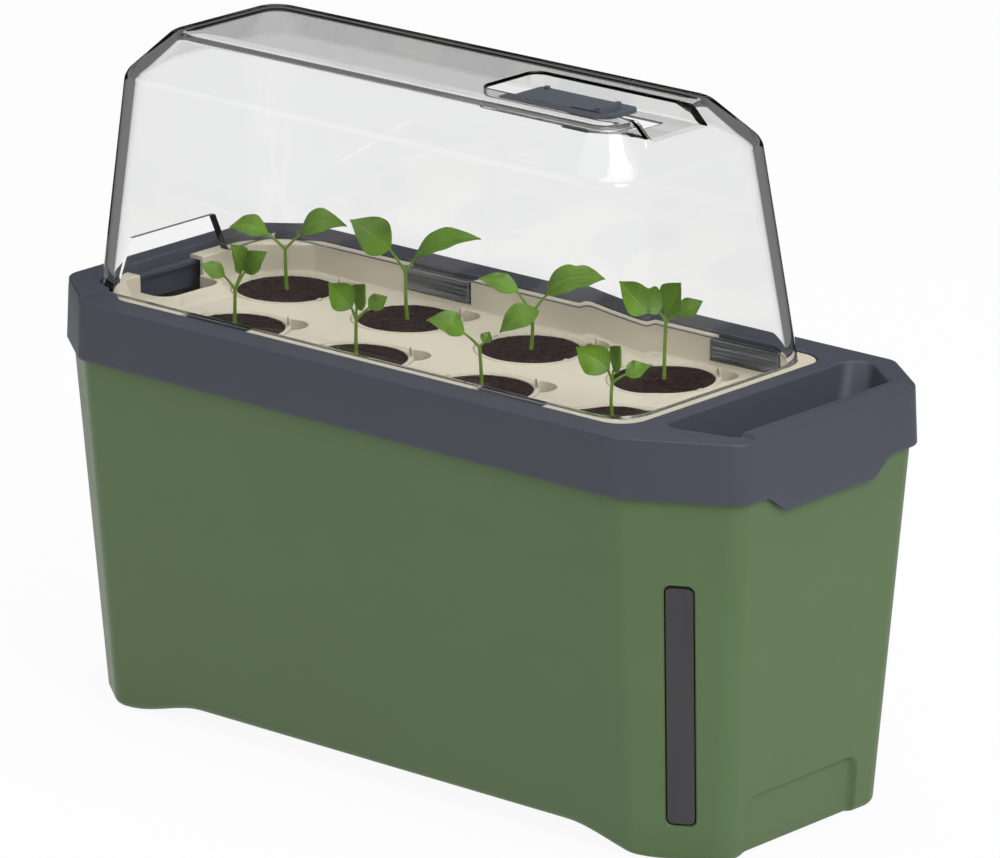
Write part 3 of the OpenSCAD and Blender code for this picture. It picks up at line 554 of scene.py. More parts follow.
def leaf_skin(name, blade, vein, gloss):
    """Leaf surface with a midrib and curved side veins, drawn from the blade's own coordinates."""
    p = Paint(name)
    split = p.add("ShaderNodeSeparateXYZ")
    p.link(p.coords.outputs["UV"], split.inputs["Vector"])
    across = p.math("ABSOLUTE", p.math("SUBTRACT", split.outputs["Y"], 0.5))
    along = p.math("SUBTRACT", split.outputs["X"], p.math("MULTIPLY", across, 0.55))
    wave = p.math("ABSOLUTE", p.math("SINE", p.math("MULTIPLY", along, 24.0)))
    side = p.ramp(wave, [(0.0, (1, 1, 1, 1)), (0.22, (0, 0, 0, 1))])
    rib = p.ramp(across, [(0.0, (1, 1, 1, 1)), (0.05, (0, 0, 0, 1))])
    lines = p.mix(1.0, side, rib, "LIGHTEN")
    tissue = p.noise(500, 3)
    patch = p.noise(70, 3)
    colour = p.ramp(patch, [(0.3, shade(blade, 0.78)), (0.52, blade), (0.75, shade(blade, 1.28))])
    colour = p.mix(p.range(lines, 0, 0.45), colour, vein)
    normal = p.bump(lines, 0.25, 0.0004, p.bump(tissue, 0.25, 0.0002))
    p.set(Subsurface_Weight=0.15, Subsurface_Radius=(0.0006, 0.001, 0.0003), Specular_IOR_Level=0.35)
    return p.finish(colour, p.range(tissue, gloss - 0.07, gloss + 0.07), normal)


def stem_skin():
    p = Paint("stem")
    streak = p.noise(300, 4, stretch=(1, 1, 0.12))
    colour = p.ramp(streak, [(0.3, srgb(74, 94, 38)), (0.7, srgb(112, 134, 66))])
    p.set(Subsurface_Weight=0.2, Subsurface_Radius=(0.0006, 0.001, 0.0003))
    return p.finish(colour, p.range(streak, 0.4, 0.55), p.bump(streak, 0.3, 0.0003))


def felt():
    """Pressed capillary felt: short tangled fibres."""
    p = Paint("felt")
    fibres = p.noise(1500, 6, stretch=(1, 3, 1), roughness=0.75)
    clumps = p.noise(160, 4)
    colour = p.ramp(clumps, [(0.3, srgb(176, 172, 160)), (0.7, srgb(206, 202, 190))])
    colour = p.mix(p.range(fibres, 0, 0.35), colour, srgb(130, 126, 116))
    p.set(Sheen_Weight=0.4, Sheen_Roughness=0.6)
    normal = p.bump(fibres, 0.7, 0.0009, p.bump(clumps, 0.3, 0.001))
    return p.finish(colour, p.range(fibres, 0.85, 1.0), normal)


PANE = smoked_pane()
CLIP_SMOKE = smoke_plastic()
CLEAR = clear_plastic()
SOIL = soil_mix()
LEAF_TOP = leaf_skin("leaf_top", srgb(82, 118, 20), srgb(116, 146, 52), 0.42)
# The underside's blade and vein greens are darker than the top's: painted shade of undersides that face away
# from the lamps
LEAF_UNDER_SHADED = leaf_skin("leaf_under_shaded", srgb(56, 78, 32), srgb(88, 108, 54), 0.6)
STEM = stem_skin()
FELT = felt()


# Camera

def make_camera():
    """Stands where the photograph was taken from."""
    az, el = math.radians(41.095), math.radians(17.029)
    aim, distance = Vector((11.082, 0.029, 162.986)) * MM, 3.752404
    back = Vector((math.sin(az) * math.cos(el), -math.cos(az) * math.cos(el), math.sin(el)))
    right = Vector((math.cos(az), math.sin(az), 0))
    data = bpy.data.cameras.new("camera")
    data.sensor_width = 36
    data.lens = 281.126
    data.clip_end = 50
    obj = bpy.data.objects.new("camera", data)
    scene.collection.objects.link(obj)
    turn = Matrix((right, back.cross(right), back)).transposed().to_4x4()
    obj.matrix_world = Matrix.Translation(aim + back * distance) @ turn
    scene.camera = obj


make_camera()


# Outer pot

def pot_in(z):
    return POT_FOOT_IN - POT_DRAFT * min(z, BAND_Z) / BAND_Z


def rise(x, y):
    """Height of the underside: a long arch under the sides and a low one under the ends."""
    arches = []
    for along, high, half, run in ((x, 9.5, 170, 52), (y, 1.5, 45, 8)):
        arches.append(high * smooth((half - abs(along)) / run))
    return max(arches)


def recess(y, z, grow):
    """Depth of the shallow recess in the ends at a place on the end face."""
    half, high, r = 41 + grow, 30 + grow, 8 + grow
    depth, softness = 2.5, 1.6
    qy = abs(y) - (half - r)
    qz = z / math.cos(POT_TILT) - (high - r)
    away = math.hypot(max(qy, 0), max(qz, 0)) + min(max(qy, qz), 0) - r
    return depth * smooth(0.5 - away / softness)


def pot_mesh():
    edge = [30.5 + 0.7 * k for k in range(20)]
    across = sorted([-e for e in edge] + list(range(-30, 31, 6)) + edge)
    foot_plan = inset(RIM_PLAN, POT_FOOT_IN)
    end_sides = (0, 4)
    ends = [side_shares(foot_plan, i, POT_R, across) for i in end_sides]
    long = even(72)
    runs = [ends[0], even(4), long, even(4), ends[1], even(4), long, even(6)]
    arc = 10
    far_in = POT_FOOT_IN + FOOT_R + 8
    near = rounded(inset(RIM_PLAN, POT_TOP_IN), POT_R, arc, runs)
    far = rounded(inset(RIM_PLAN, far_in), POT_R, arc, runs)
    count = len(near)
    on_end = []
    for i, run in enumerate(runs):
        on_end += [False] * (arc + 1) + [i in end_sides] * len(run)
    foot = [a.lerp(b, (POT_FOOT_IN - POT_TOP_IN) / (far_in - POT_TOP_IN)) for a, b in zip(near, far)]
    lifts = [rise(p.x, p.y) for p in foot]
    plain_z = 45
    shell = Shell()

    def level(z, extra=0, wall=0):
        """A ring of the wall at a nominal height; the lowest stretch follows the arches."""
        plan, heights = [], []
        for i in range(count):
            if z <= FOOT_R:
                up = z + lifts[i]
            elif z < plain_z:
                up = lerp(FOOT_R + lifts[i], plain_z, (z - FOOT_R) / (plain_z - FOOT_R))
            else:
                up = z
            d = pot_in(up) + extra + wall
            p = near[i].lerp(far[i], (d - POT_TOP_IN) / (far_in - POT_TOP_IN))
            if on_end[i]:
                most = HALF_L - pot_in(up) - wall - recess(p.y, up, wall)
                p.x = math.copysign(min(abs(p.x), most), p.x)
            plan.append(p)
            heights.append(up + (wall if z <= FOOT_R else 0))
        return shell.ring(plan, heights)

    def underside(first, wall):
        rings = [first]
        base = [Vector(shell.points[i][:2]) for i in first]
        for share in (0.95, 0.88, 0.78, 0.66, 0.52, 0.36, 0.18):
            plan = [p * share for p in base]
            rings.append(shell.ring(plan, [rise(p.x, p.y) + wall for p in plan]))
        return rings

    bends = [math.radians(90 * k / 8) for k in range(9)]
    curl = [(FOOT_R * (1 - math.cos(a)), FOOT_R * (1 - math.sin(a))) for a in bends]
    outer_z = [5, 6.5, 8, 10, 12, 14.5, 17, 19] + [20 + 0.7 * k for k in range(20)] + [36, 40, 45]
    outer_z += [45 + 8 * k for k in range(1, 17)] + [180, 183.5, 184.5, 193, 206]
    outer = [level(z, extra) for z, extra in curl] + [level(z) for z in outer_z]
    lip = [level(206.8, 0.35), level(POT_H, 1.0), level(POT_H, 2.2)]
    inner_z = (206, 184.5, 140, 100, 70, 45, 36, 32, 29, 26, 23, 20, 14, 9, 6)
    inner = [level(z, 0, POT_WALL) for z in inner_z]
    inner += [level(z, extra, POT_WALL) for z, extra in reversed(curl[::2])]
    low = underside(outer[0], 0)
    shell.loft(list(reversed(low)) + outer[1:] + lip + inner)
    floor = underside(inner[-1], POT_WALL)
    shell.loft(floor)
    shell.cap(low[-1])
    shell.cap(floor[-1])
    return mesh_of("pot", shell)


def sight_frame():
    """Places a local frame on the corner face that holds the window; +X points out of it."""
    foot = inset(RIM_PLAN, POT_FOOT_IN)
    middle = (foot[0] + foot[7]) / 2
    cut = Vector(RIM_PLAN[0]) - Vector(RIM_PLAN[7])
    turn = Matrix.Rotation(-math.atan2(cut.x, cut.y), 4, "Z") @ Matrix.Rotation(POT_TILT, 4, "Y")
    return Matrix.Translation((middle.x, middle.y, 0)) @ turn @ Matrix.Translation((0, 1.5, 18))


SIGHT = sight_frame()


def sight_rings(shell, steps):
    """Rings of the upright window outline, for (growth, outward) steps."""
    rings = []
    for grow, out in steps:
        half, high, r = 7.25 + grow, 121 + grow, 3.5 + grow
        plan = [(half, -grow), (half, high), (-half, high), (-half, -grow)]
        rings.append(shell.chain([(out, p.x, p.y) for p in rounded(plan, r)]))
    return rings


window = Shell()
window.solid(sight_rings(window, [(0, -12), (0, -0.9), (0.35, -0.35), (0.9, 0.2), (0.9, 3)]))
window.moved(SIGHT)
pot = carve(pot_mesh(), [(window, "DIFFERENCE")])
piece("pot_shell", pot, "planter", [POT_GREEN], ["outer_pot"])

pane = Shell()
pane.solid(sight_rings(pane, [
    (4, -6.5), (4, -4.6), (-0.35, -4.5), (-0.35, -2.0), (-0.45, -1.3), (-0.8, -0.95), (-1.4, -0.8),
    (-2.2, -0.8),
]))
pane.moved(SIGHT)
piece("sight_pane", mesh_of("pane", pane), "planter", [PANE], ["sight_glass"])


# Rim frame

def lip_drop(p):
    """How far the grip lip hangs below the skirt at the filler end."""
    depth, half, run = 9, 47, 17
    if p.x < HALF_L - 6:
        return 0
    return depth * smooth((half - abs(p.y)) / run + 0.02)


def mouth(t, grow):
    """The filler's outline at a share t of its depth."""
    plan = [Vector(a).lerp(Vector(b), min(max(t, 0), 1)) for a, b in zip(MOUTH_TOP, MOUTH_LOW)]
    return rounded(inset(plan, -grow), 8 + grow, 10, evens(6, 3, 2, 8, 3))


def opening(d, runs):
    return rounded(inset(OPEN_PLAN, d), max(14 - d, 1), 10, runs)


def rim_mesh():
    runs = evens(60, 4, 20, 4, 10, 4, 20, 4)
    profile = [
        (2.7, RIM_UNDER), (2.7, 182.2), (2.55, 181.4), (2.1, 181.02), (1.4, 180.95), (0.75, 181),
        (0.3, 181.25), (0.06, 181.8), (0.08, 182.8), (0.6, 195.5), (1.1, 208.2), (1.2, 208.95),
        (1.36, 209.42), (1.62, 209.78), (2, 209.96), (2.5, RIM_TOP), (3.6, RIM_TOP),
    ]
    shell = Shell()
    rings = []
    for d, z in profile:
        plan = rounded(inset(RIM_PLAN, d), RIM_R, 10, runs)
        drop = smooth((184 - z) / 2.2)
        rings.append(shell.ring(plan, [z - drop * lip_drop(p) for p in plan]))
    shell.loft(rings)
    hole_runs = evens(12, 16, 4, 8, 4, 16)
    hole = [
        (-1.8, RIM_TOP), (-1.1, RIM_TOP), (-0.55, 209.88), (-0.16, 209.5), (0, 209), (0, 207.2),
        (0, RIM_UNDER), (3.6, RIM_UNDER), (4, 206.6), (4, 204.5), (0, 204.5), (0, 191.4), (-0.4, 191),
        (-2.1, 191), (-2.5, 191.4), (-2.5, RIM_UNDER),
    ]
    collar = [shell.ring(opening(d, hole_runs), z) for d, z in hole]
    shell.loft(collar)
    chute = [(1.9, RIM_TOP), (1.2, RIM_TOP), (0.6, 209.88), (0.18, 209.5), (0, 209)]
    chute += [(0, z) for z in (204, 197, 190, 183, 176.4)] + [(0.4, 176), (2.1, 176), (2.5, 176.4)]
    chute += [(2.5, z) for z in (183, 190, 197, RIM_UNDER)]
    spout = [shell.ring(mouth((RIM_TOP - z) / MOUTH_DEPTH, grow), z) for grow, z in chute]
    shell.loft(spout)
    shell.fill([rings[-1], collar[0], spout[0]])
    shell.fill([rings[0], collar[-1], spout[-1]])
    return mesh_of("rim", shell)


# Steps (inward, up) of a bar's soft outer edge, and (outward, height) of its edge along a hole
SOFT_TOP = [(0, 0), (0, 3.4), (0.15, 3.95), (0.5, 4.35), (1.05, 4.5)]
HOLE_EDGE = [(0.15, 206), (0.15, 211.4), (0.35, 212), (0.8, 212.4), (1.5, 212.55), (1.5, 214)]


def trimmed(bar, hole):
    """A bar on the rim with a hole's outlines cut out of it."""
    return shell_of(carve(mesh_of("ridge", stack(bar)), [(stack(hole), "DIFFERENCE")]))


def plain_ridge():
    """The raised bar round the plain end, with soft edges and a sloping step down to the sides."""
    layers = []
    for d, up in SOFT_TOP:
        plan = rounded(inset(RIM_PLAN, 1.25 + d), RIM_R, 10, [even(3)] * 8)
        step = -180 - 0.3 * up
        left = [p for p in plan if p.x < step - 0.5]
        chain = [Vector((step, left[0].y + 0.2))] + left + [Vector((step, left[-1].y - 0.2))]
        layers.append((even_chain(chain, 60), RIDGE_FOOT + up))
    return trimmed(layers, [(opening(-d, [even(6)] * 6), z) for d, z in HOLE_EDGE])


def filler_ridge():
    """The raised bar at the filler end."""
    steps = [(0.05, 0, RIM_UNDER), (0.05, 0, RIM_TOP), (0.3, 1.5, 211.8), (0.6, 2.1, 212.3)]
    steps.append((1.2, 2.8, RIDGE_Z))
    layers = []
    for d, ends, z in steps:
        x, y0, y1 = 213.8 - d, -52 + ends, 62 - ends
        plan = [(x, y0), (x, y1), (200, y1), (200, y0)]
        layers.append((rounded(plan, 0.6, 4, evens(30, 0, 30, 0)), z))
    return trimmed(layers, [(mouth(0, d), z) for d, z in HOLE_EDGE])


def end_bevel():
    """Cuts the bevel along the outer edge of the filler end."""
    shell = Shell()
    wedge = [(214.3, 207.7), (217, 207.7), (217, 214), (208, 214)]
    shell.solid([shell.chain([(x, y, z) for x, z in wedge]) for y in (-53, 74)])
    return shell


def dome_groove():
    """Leaves room for the dome's foot where its corners cross the rim."""
    shell = Shell()
    rings = []
    for d, z in ((-0.5, 208.5), (-0.5, 216), (6, 216), (6, 208.5)):
        rings.append(shell.ring(blended(inset(DOME_PLAN, d), 22 - d, 16, [even(4)] * 4), z))
    shell.loft(rings + rings[:1])
    return shell


rim = carve(rim_mesh(), [
    (plain_ridge(), "UNION"), (filler_ridge(), "UNION"),
    (end_bevel(), "DIFFERENCE"), (dome_groove(), "DIFFERENCE"),
])
piece("rim_shell", rim, "planter", [RIM_SLATE], ["rim_frame"])


# Seed tray

def normals(plan):
    """Each point of a closed outline with its direction outward."""
    out = []
    for i, p in enumerate(plan):
        ahead = plan[(i + 1) % len(plan)] - plan[i - 1]
        out.append((p, Vector((ahead.y, -ahead.x)).normalized()))
    return out


def scoop_angles(big, small):
    """Half of the angles at which a cup place and its scoop cross, seen from each of their centres."""
    gap = SCOOP_REACH
    at_cup = math.acos((big * big + gap * gap - small * small) / (2 * big * gap))
    at_scoop = math.acos((small * small + gap * gap - big * big) / (2 * small * gap))
    return at_cup, at_scoop


def scoop_arc(x, y, big, small, steps):
    """The scoop's own arc, outside its cup place."""
    half = scoop_angles(big, small)[1]
    cx, cy = x + SCOOP_REACH * math.cos(SCOOP_TURN), y + SCOOP_REACH * math.sin(SCOOP_TURN)
    return arc_points(cx, cy, small, SCOOP_TURN - math.pi + half, 2 * math.pi - 2 * half, steps)


def scoop_outline(x, y, grow):
    """A cup place with its finger scoop: two crossing circles as one outline."""
    big, small = SEAT_R + grow[0], SCOOP_R + grow[1]
    half = scoop_angles(big, small)[0]
    cup = arc_points(x, y, big, SCOOP_TURN + half, 2 * math.pi - 2 * half, 48)
    return cup + scoop_arc(x, y, big, small, 20)[1:-1]


def crescent(x, y, big, small):
    """The part of a scoop that lies outside its cup."""
    half = scoop_angles(big, small)[0]
    return scoop_arc(x, y, big, small, 24) + arc_points(x, y, big, SCOOP_TURN + half, -2 * half, 12)[1:-1]


def bay_outline(grow, arc, runs=None):
    """The bay's outline; its outer side lies well outside the tray."""
    x, low, high = BAY_X + grow, BAY[0] - grow, BAY[1] + grow
    return rounded([(-240, low), (x, low), (x, high), (-240, high)], BAY_R + grow, arc, runs)


def cup_place(shell, x, y):
    """The sunk wall, seat ring and scoop floor of one cup place; gives its upper and lower edge."""
    steps = [(0.7, FLOOR_Z), (0.35, 194.45), (0.1, 194.25), (0, 193.9), (0, SCOOP_Z)]
    rings = [shell.ring(scoop_outline(x, y, (d, d)), z) for d, z in steps]
    rings += [shell.ring(scoop_outline(x, y, (1.2, 1)), z) for z in (SCOOP_Z, FLOOR_UNDER)]
    shell.loft(rings)
    seat = [(26.5, 193.2), (28.1, 193.2), (28.1, 191.4), (26.5, 191.4)]
    spread = scoop_angles(SEAT_R, SCOOP_R)[0]
    turns = [SCOOP_TURN + spread + (2 * math.pi - 2 * spread) * k / 48 for k in range(49)]
    shell.solid([
        shell.chain([(x + r * math.cos(a), y + r * math.sin(a), z) for r, z in seat]) for a in turns
    ])
    shell.solid([shell.ring(crescent(x, y, 26.6, 10.1), z) for z in (SCOOP_Z, 188.4)])
    return rings[0], rings[-1]


def tray_mesh():
    """The pan: a wall with a flange, gaps in it for the clips and the bay, the floor and its cup places."""
    base_plan = inset(OPEN_PLAN, 0.5)
    corner_r, floor_in = 13.5, 9.4
    gap = CLIP_W / 2 + 1
    edge = 1.6
    back, plain_end, front = 1, 3, 5
    cuts = {back: [], front: []}
    for x, way in CLIPS:
        cuts[back if way > 0 else front] += [x - gap, x + gap]
    cuts[plain_end] = [BAY[0] - edge, BAY[1] + edge]
    runs = evens(14, 40, 3, 10, 3, 40)
    for side, places in cuts.items():
        runs[side] = sorted(side_shares(base_plan, side, corner_r, places) + runs[side])
    spots = normals(rounded(base_plan, corner_r, 12, runs))

    def kind(p):
        low, high = cuts[plain_end]
        if p.x < -198 and low - 0.01 < p.y < high + 0.01:
            return "bay"
        for x, way in CLIPS:
            if p.y * way > 74 and abs(p.x - x) < gap + 0.01:
                return "gap"
        return "wall"

    count = len(spots)
    kinds = [kind((spots[i][0] + spots[(i + 1) % count][0]) / 2) for i in range(count)]
    profiles = {
        "wall": [
            (0, 207), (0, 208.3), (0.15, 208.75), (0.6, FLANGE_Z), (7.9, FLANGE_Z), (8.5, 208.85),
            (8.9, 208.5), (9, 208), (9.05, 195.9), (9.15, 195.2), (9.45, 194.75), (9.9, 194.54),
            (10.3, FLOOR_Z), (10.3, FLOOR_UNDER), (7, FLOOR_UNDER), (7, 207),
        ],
        "gap": [
            (7, FLOOR_UNDER), (7, 196.8), (7.2, 197), (8.8, 197), (9.05, 196.8), (9.1, 195.5), (9.4, 194.8),
            (9.8, 194.55), (10.3, FLOOR_Z), (10.3, FLOOR_UNDER),
        ],
    }
    shell = Shell()
    start = next(i for i in range(count) if kinds[i - 1] != kinds[i])
    for name, run in groupby([(start + k) % count for k in range(count)], key=lambda i: kinds[i]):
        run = list(run)
        if name in profiles:
            stretch = [spots[i] for i in run] + [spots[(run[-1] + 1) % count]]
            shell.sweep(stretch, profiles[name])

    hook = [p for p in bay_outline(edge, 8) if p.x > -192]
    floor = []
    for i, (p, n) in enumerate(spots):
        if kinds[i] == kinds[i - 1] == "bay":
            continue
        floor.append(p - n * floor_in)
        if kinds[i] == "bay":
            floor += reversed(hook)
    top = shell.ring(floor, FLOOR_Z)
    under = shell.ring(floor, FLOOR_UNDER)
    shell.bridge(under, top)
    edges = [cup_place(shell, x, y) for x, y in CUPS]
    shell.fill([top] + [upper for upper, _ in edges])
    shell.fill([under] + [lower for _, lower in edges])
    return mesh_of("tray", shell)


def sill_mesh():
    """The raised edge round the bay, sloping down to the floor and cut by the cup places."""
    shell = Shell()
    path = bay_outline(0, 10, evens(60, 12, 60, 0))
    keep = [(p, n) for p, n in normals(path) if p.x > -193.5]
    first = min(range(len(keep)), key=lambda i: (keep[i][0].x, keep[i][0].y))
    shell.sweep(keep[first:] + keep[:first], [
        (0, 192.3), (0, 198.9), (-0.25, 199.35), (-0.8, 199.5), (-1.5, 199.4), (-2.4, 199), (-4, 197.6),
        (-6, 196.1), (-8, 195.1), (-9.5, 194.6), (-10.5, 194.4), (-10.5, 192.3),
    ])
    holes = [circle(x, y, SEAT_R + 0.7, 72) for x, y in (CUPS[0], CUPS[4])]
    cuts = [(stack([(hole, 185), (hole, 205)]), "DIFFERENCE") for hole in holes]
    return carve(mesh_of("sill", shell), cuts)


SEATS = [f"cup_seat_{n + 1}" for n in range(len(CUPS))]
piece("tray_pan", tray_mesh(), "tray", [TRAY_CREAM], ["seed_tray"] + SEATS)
piece("tray_sill", sill_mesh(), "tray", [TRAY_CREAM], ["bay_sill"])


# Seed cups, soil and seedlings

def pull_tab(turn, w, h):
    """A thin tab with a round top that stands on the cup's ring."""
    tab = Shell()
    half, shoulder = w / 2, h - 1.2
    outline = [(-half, -0.6), (half, -0.6), (half, shoulder)]
    bends = [math.pi * k / 10 for k in range(1, 10)]
    outline += [(half * math.cos(a), shoulder + 1.2 * math.sin(a)) for a in bends] + [(-half, shoulder)]
    layers = []
    for out, pinch in ((26.12, 0.85), (26.25, 0.96), (26.5, 1), (26.9, 1), (27.15, 0.96), (27.28, 0.85)):
        layers.append(tab.chain([
            (out, across * pinch, FLOOR_Z + (up * pinch if up > 0 else up)) for across, up in outline
        ]))
    tab.solid(layers)
    return tab.moved(Matrix.Rotation(SCOOP_TURN + math.radians(turn), 4, "Z"))


def cup_mesh():
    shell = Shell()
    shell.lathe([
        (8, CUP_Z), (20.6, CUP_Z), (21.6, CUP_Z + 0.4), (22, CUP_Z + 1.4), (25.85, FLOOR_Z - 1.2),
        (27.2, FLOOR_Z - 1.2), (27.55, FLOOR_Z - 0.95), (27.6, FLOOR_Z - 0.5), (27.45, FLOOR_Z - 0.15),
        (27.1, FLOOR_Z), (25.3, FLOOR_Z), (25, FLOOR_Z - 0.12), (24.8, FLOOR_Z - 0.5), (24.65, FLOOR_Z - 1.4),
        (21.2, CUP_Z + 2.2), (20.4, CUP_Z + 1.2), (8, CUP_Z + 1.2),
    ], 72)
    for turn, w, h in ((0, 7, 4), (120, 4, 1), (300, 4, 1)):
        shell.join(pull_tab(turn, w, h))
    return mesh_of("cup", shell)


def soil_mesh(seed):
    """A pressed plug of compost with a crumbly top."""
    rnd = random.Random(seed)
    shell = Shell()
    rings = []
    for r, z in ((20.3, CUP_Z + 1.3), (24.35, SOIL_Z - 1.2), (24.6, SOIL_Z - 0.3)):
        rings.append(shell.ring(circle(0, 0, r, 72), z))
    steps = 18
    for k in range(steps):
        plan = circle(0, 0, 24.7 * (1 - k / steps) ** 0.9, 72)
        heights = []
        for p in plan:
            q = Vector((p.x * 0.22 + seed * 7.3, p.y * 0.22, 0))
            z = SOIL_Z - 0.2 + 0.3 * noise.noise(q) + 0.25 * noise.noise(q * 3.1)
            heights.append(z - (0.1 if k == 0 else 0))
        rings.append(shell.ring(plan, heights))
    shell.solid(rings)
    for _ in range(230):
        r, a = 23.9 * math.sqrt(rnd.random()), rnd.uniform(0, 2 * math.pi)
        size = rnd.uniform(0.3, 0.85)
        centre = Vector((r * math.cos(a), r * math.sin(a), SOIL_Z - 0.1))
        crumb(shell, centre, size, rnd)
    return mesh_of("soil", shell)


def crumb(shell, centre, size, rnd):
    """One rough crumb: a flattened lump with uneven corners."""
    squash = rnd.uniform(0.5, 0.8)
    rings = []
    for up, wide in ((-0.8, 0.5), (0.0, 1.0), (0.6, 0.6)):
        turn = rnd.uniform(0, 0.6)
        spots = []
        for k in range(6):
            angle = turn + math.pi * k / 3
            w = size * wide * rnd.uniform(0.75, 1.2)
            spots.append(centre + Vector((w * math.cos(angle), w * math.sin(angle), size * up * squash)))
        rings.append(shell.chain(spots))
    shell.solid(rings)


# Each seedling's stem top, then each leaf's foot, tip, width, arch, cupping and roll in degrees
SEEDLINGS = [
    [(0.5, 0, 20), [
        [(-4.5, 0, 27), (-16, 1, 33), 8, 0, 1, 40],
        [(4, 0, 29), (-1, -4, 44), 12, 1, 2, 70],
        [(5, 0, 29), (16, -3, 40), 10, 1, 1, 60]]],
    [(0, 0, 20), [
        [(-2, 0, 26), (-13, -2, 39), 12, -1, 2, 70],
        [(0, 0, 26), (4, -4, 39), 13, -1, 2, 70],
        [(6, 0, 26), (15, 2, 31), 8, 0, 1, 40]]],
    [(-1, 0, 22), [
        [(-8, 0, 29), (-26, -2, 36), 11, 4, 1, 45],
        [(1, 0, 24), (4, 2, 29), 5, 0.5, 0.5, 40]]],
    [(-0.5, 0, 20), [
        [(-2, 0, 26), (-16, -2, 38), 12, -1, 2, 70],
        [(0, 0, 26), (3, -4, 39), 14, -1, 2, 70],
        [(6, 0, 24), (17, 2, 28), 8, 0, 1, 40]]],
    [(-0.5, 0, 21), [
        [(-9, 0, 29), (-28, 2, 32), 11, 4, 1, 35],
        [(7, 0, 29), (30, -1, 33), 12, 8, 1, 40]]],
    [(-0.5, 0, 24), [
        [(-8, -1, 36), (-27.5, -5, 52), 16, 2, 1, 66],
        [(4, 0, 32), (36, -4, 42), 12, 6, 1, 32]]],
    [(0.5, 0, 18), [
        [(4, -1, 20), (-15, -4, 10), 11, 5, 1, 45],
        [(-6, 2, 29), (-25, 4, 35), 9, 2, 1, 40],
        [(7, 0, 28), (33, -2, 36), 13, 7, 1, 40]]],
    [(0.5, 0, 29), [
        [(-2, 0, 34), (-19, -2, 50), 13, -1, 2, 70],
        [(0, 0, 34), (7, -5, 50), 15, -1, 2, 70],
        [(6, 0, 33), (18, 2, 39), 9, 0, 1, 40]]],
]


# A seedling's materials, in the order of its slots
UPPER_MARK, UNDER_MARK, STEM_MARK = 0, 1, 2


def leaf_point(foot, tip, w, bow, cup, turn, u, v):
    """A point of a curved blade, u along and v across from -1 to 1."""
    reach = tip - foot
    side = reach.cross(Vector((0, 0, 1))).normalized()
    up = side.cross(reach).normalized()
    roll = math.radians(turn if side.y < 0 else -turn)
    side, up = side * math.cos(roll) - up * math.sin(roll), up * math.cos(roll) + side * math.sin(roll)
    half = max(0.62 * w * math.sin(math.pi * u ** 0.8), 0.35)
    ripple = 0.35 * math.sin(u * 17 + v * 2) * v * v
    crease = -0.35 * math.exp(-(v / 0.12) ** 2)
    height = bow * 4 * u * (1 - u) + (cup * v * v + ripple + crease) * math.sin(math.pi * u)
    return foot + reach * u + up * height + side * v * half, up


def grid_border(rows):
    """The outer points of a grid of rows, in order round it."""
    return [r[0] for r in rows] + rows[-1][1:-1] + [r[-1] for r in reversed(rows)] + rows[0][-2:0:-1]


def seedling_mesh(number):
    top, leaves = SEEDLINGS[number]
    rnd = random.Random(40 + number)
    top = Vector(top)
    shell = Shell()
    sway = Vector((rnd.uniform(-1, 1), rnd.uniform(-1, 1), 0))
    path = [top * t + sway * 0.8 * math.sin(math.pi * t) for t in [k / 10 for k in range(11)]]
    shell.tube(path, [1.0 - 0.2 * k / 10 for k in range(11)], 12)
    leaves = [(Vector(foot), Vector(tip), shape) for foot, tip, *shape in leaves]
    for foot, tip, _ in leaves:
        lift = Vector((0, 0, min(foot.z - top.z, 5) * 0.45))
        stalk = curve_between(top, (top + foot) / 2 + lift * 0.3, foot + (tip - foot) * 0.05, 8)
        shell.tube([Vector(p) for p in stalk], [0.8 - 0.3 * k / 8 for k in range(9)], 10)
    marks = [STEM_MARK] * len(shell.faces)
    uv = []
    nu, nv = 22, 12
    for foot, tip, shape in leaves:
        sides = []
        for thick in (0.0, 0.55):
            rows = []
            for u in [i / nu for i in range(nu + 1)]:
                row = []
                for v in [2 * k / nv - 1 for k in range(nv + 1)]:
                    p, up = leaf_point(foot, tip, *shape, u, v)
                    row.append(p - up * thick * (1 - 0.75 * v ** 6))
                rows.append(shell.chain(row))
                uv += [(u, k / nv) for k in range(nv + 1)]
            sides.append(rows)
        upper, lower = sides
        shell.loft(upper, closed=False)
        marks += [UPPER_MARK] * (len(shell.faces) - len(marks))
        shell.loft([list(reversed(r)) for r in lower], closed=False)
        shell.bridge(grid_border(upper), grid_border(lower))
        marks += [UNDER_MARK] * (len(shell.faces) - len(marks))
    shell.moved(Matrix.Translation((0, 0, SOIL_Z - 0.4)) @ Matrix.Rotation(math.radians(42), 4, "Z"))
    mesh = mesh_of("seedling", shell, merge=False)
    mesh.polygons.foreach_set("material_index", marks)
    layer = mesh.uv_layers.new(name="blade")
    offset = len(shell.points) - len(uv)
    for loop in mesh.loops:
        k = loop.vertex_index - offset
        layer.data[loop.index].uv = uv[k] if k >= 0 else (0.5, 0.5)
    return mesh


CUP = cup_mesh()
for n, (x, y) in enumerate(CUPS, 1):
    body, place = f"cup_{n}", (x, y, 0)
    piece(f"cup_shell_{n}", CUP.copy(), body, [CUP_CREAM], [f"seed_cup_{n}"], place=place)
    piece(f"soil_top_{n}", soil_mesh(n), body, [SOIL], [f"soil_plug_{n}"], 60, place)
    plant = seedling_mesh(n - 1)
    piece(f"plant_{n}", plant, body, [LEAF_TOP, LEAF_UNDER_SHADED, STEM], [f"seedling_{n}"], 50, place)


# Dome

# Thicknesses that the clear walls and the vent channel show in the photograph
WALL_T, CHANNEL_T = 5, 1.2


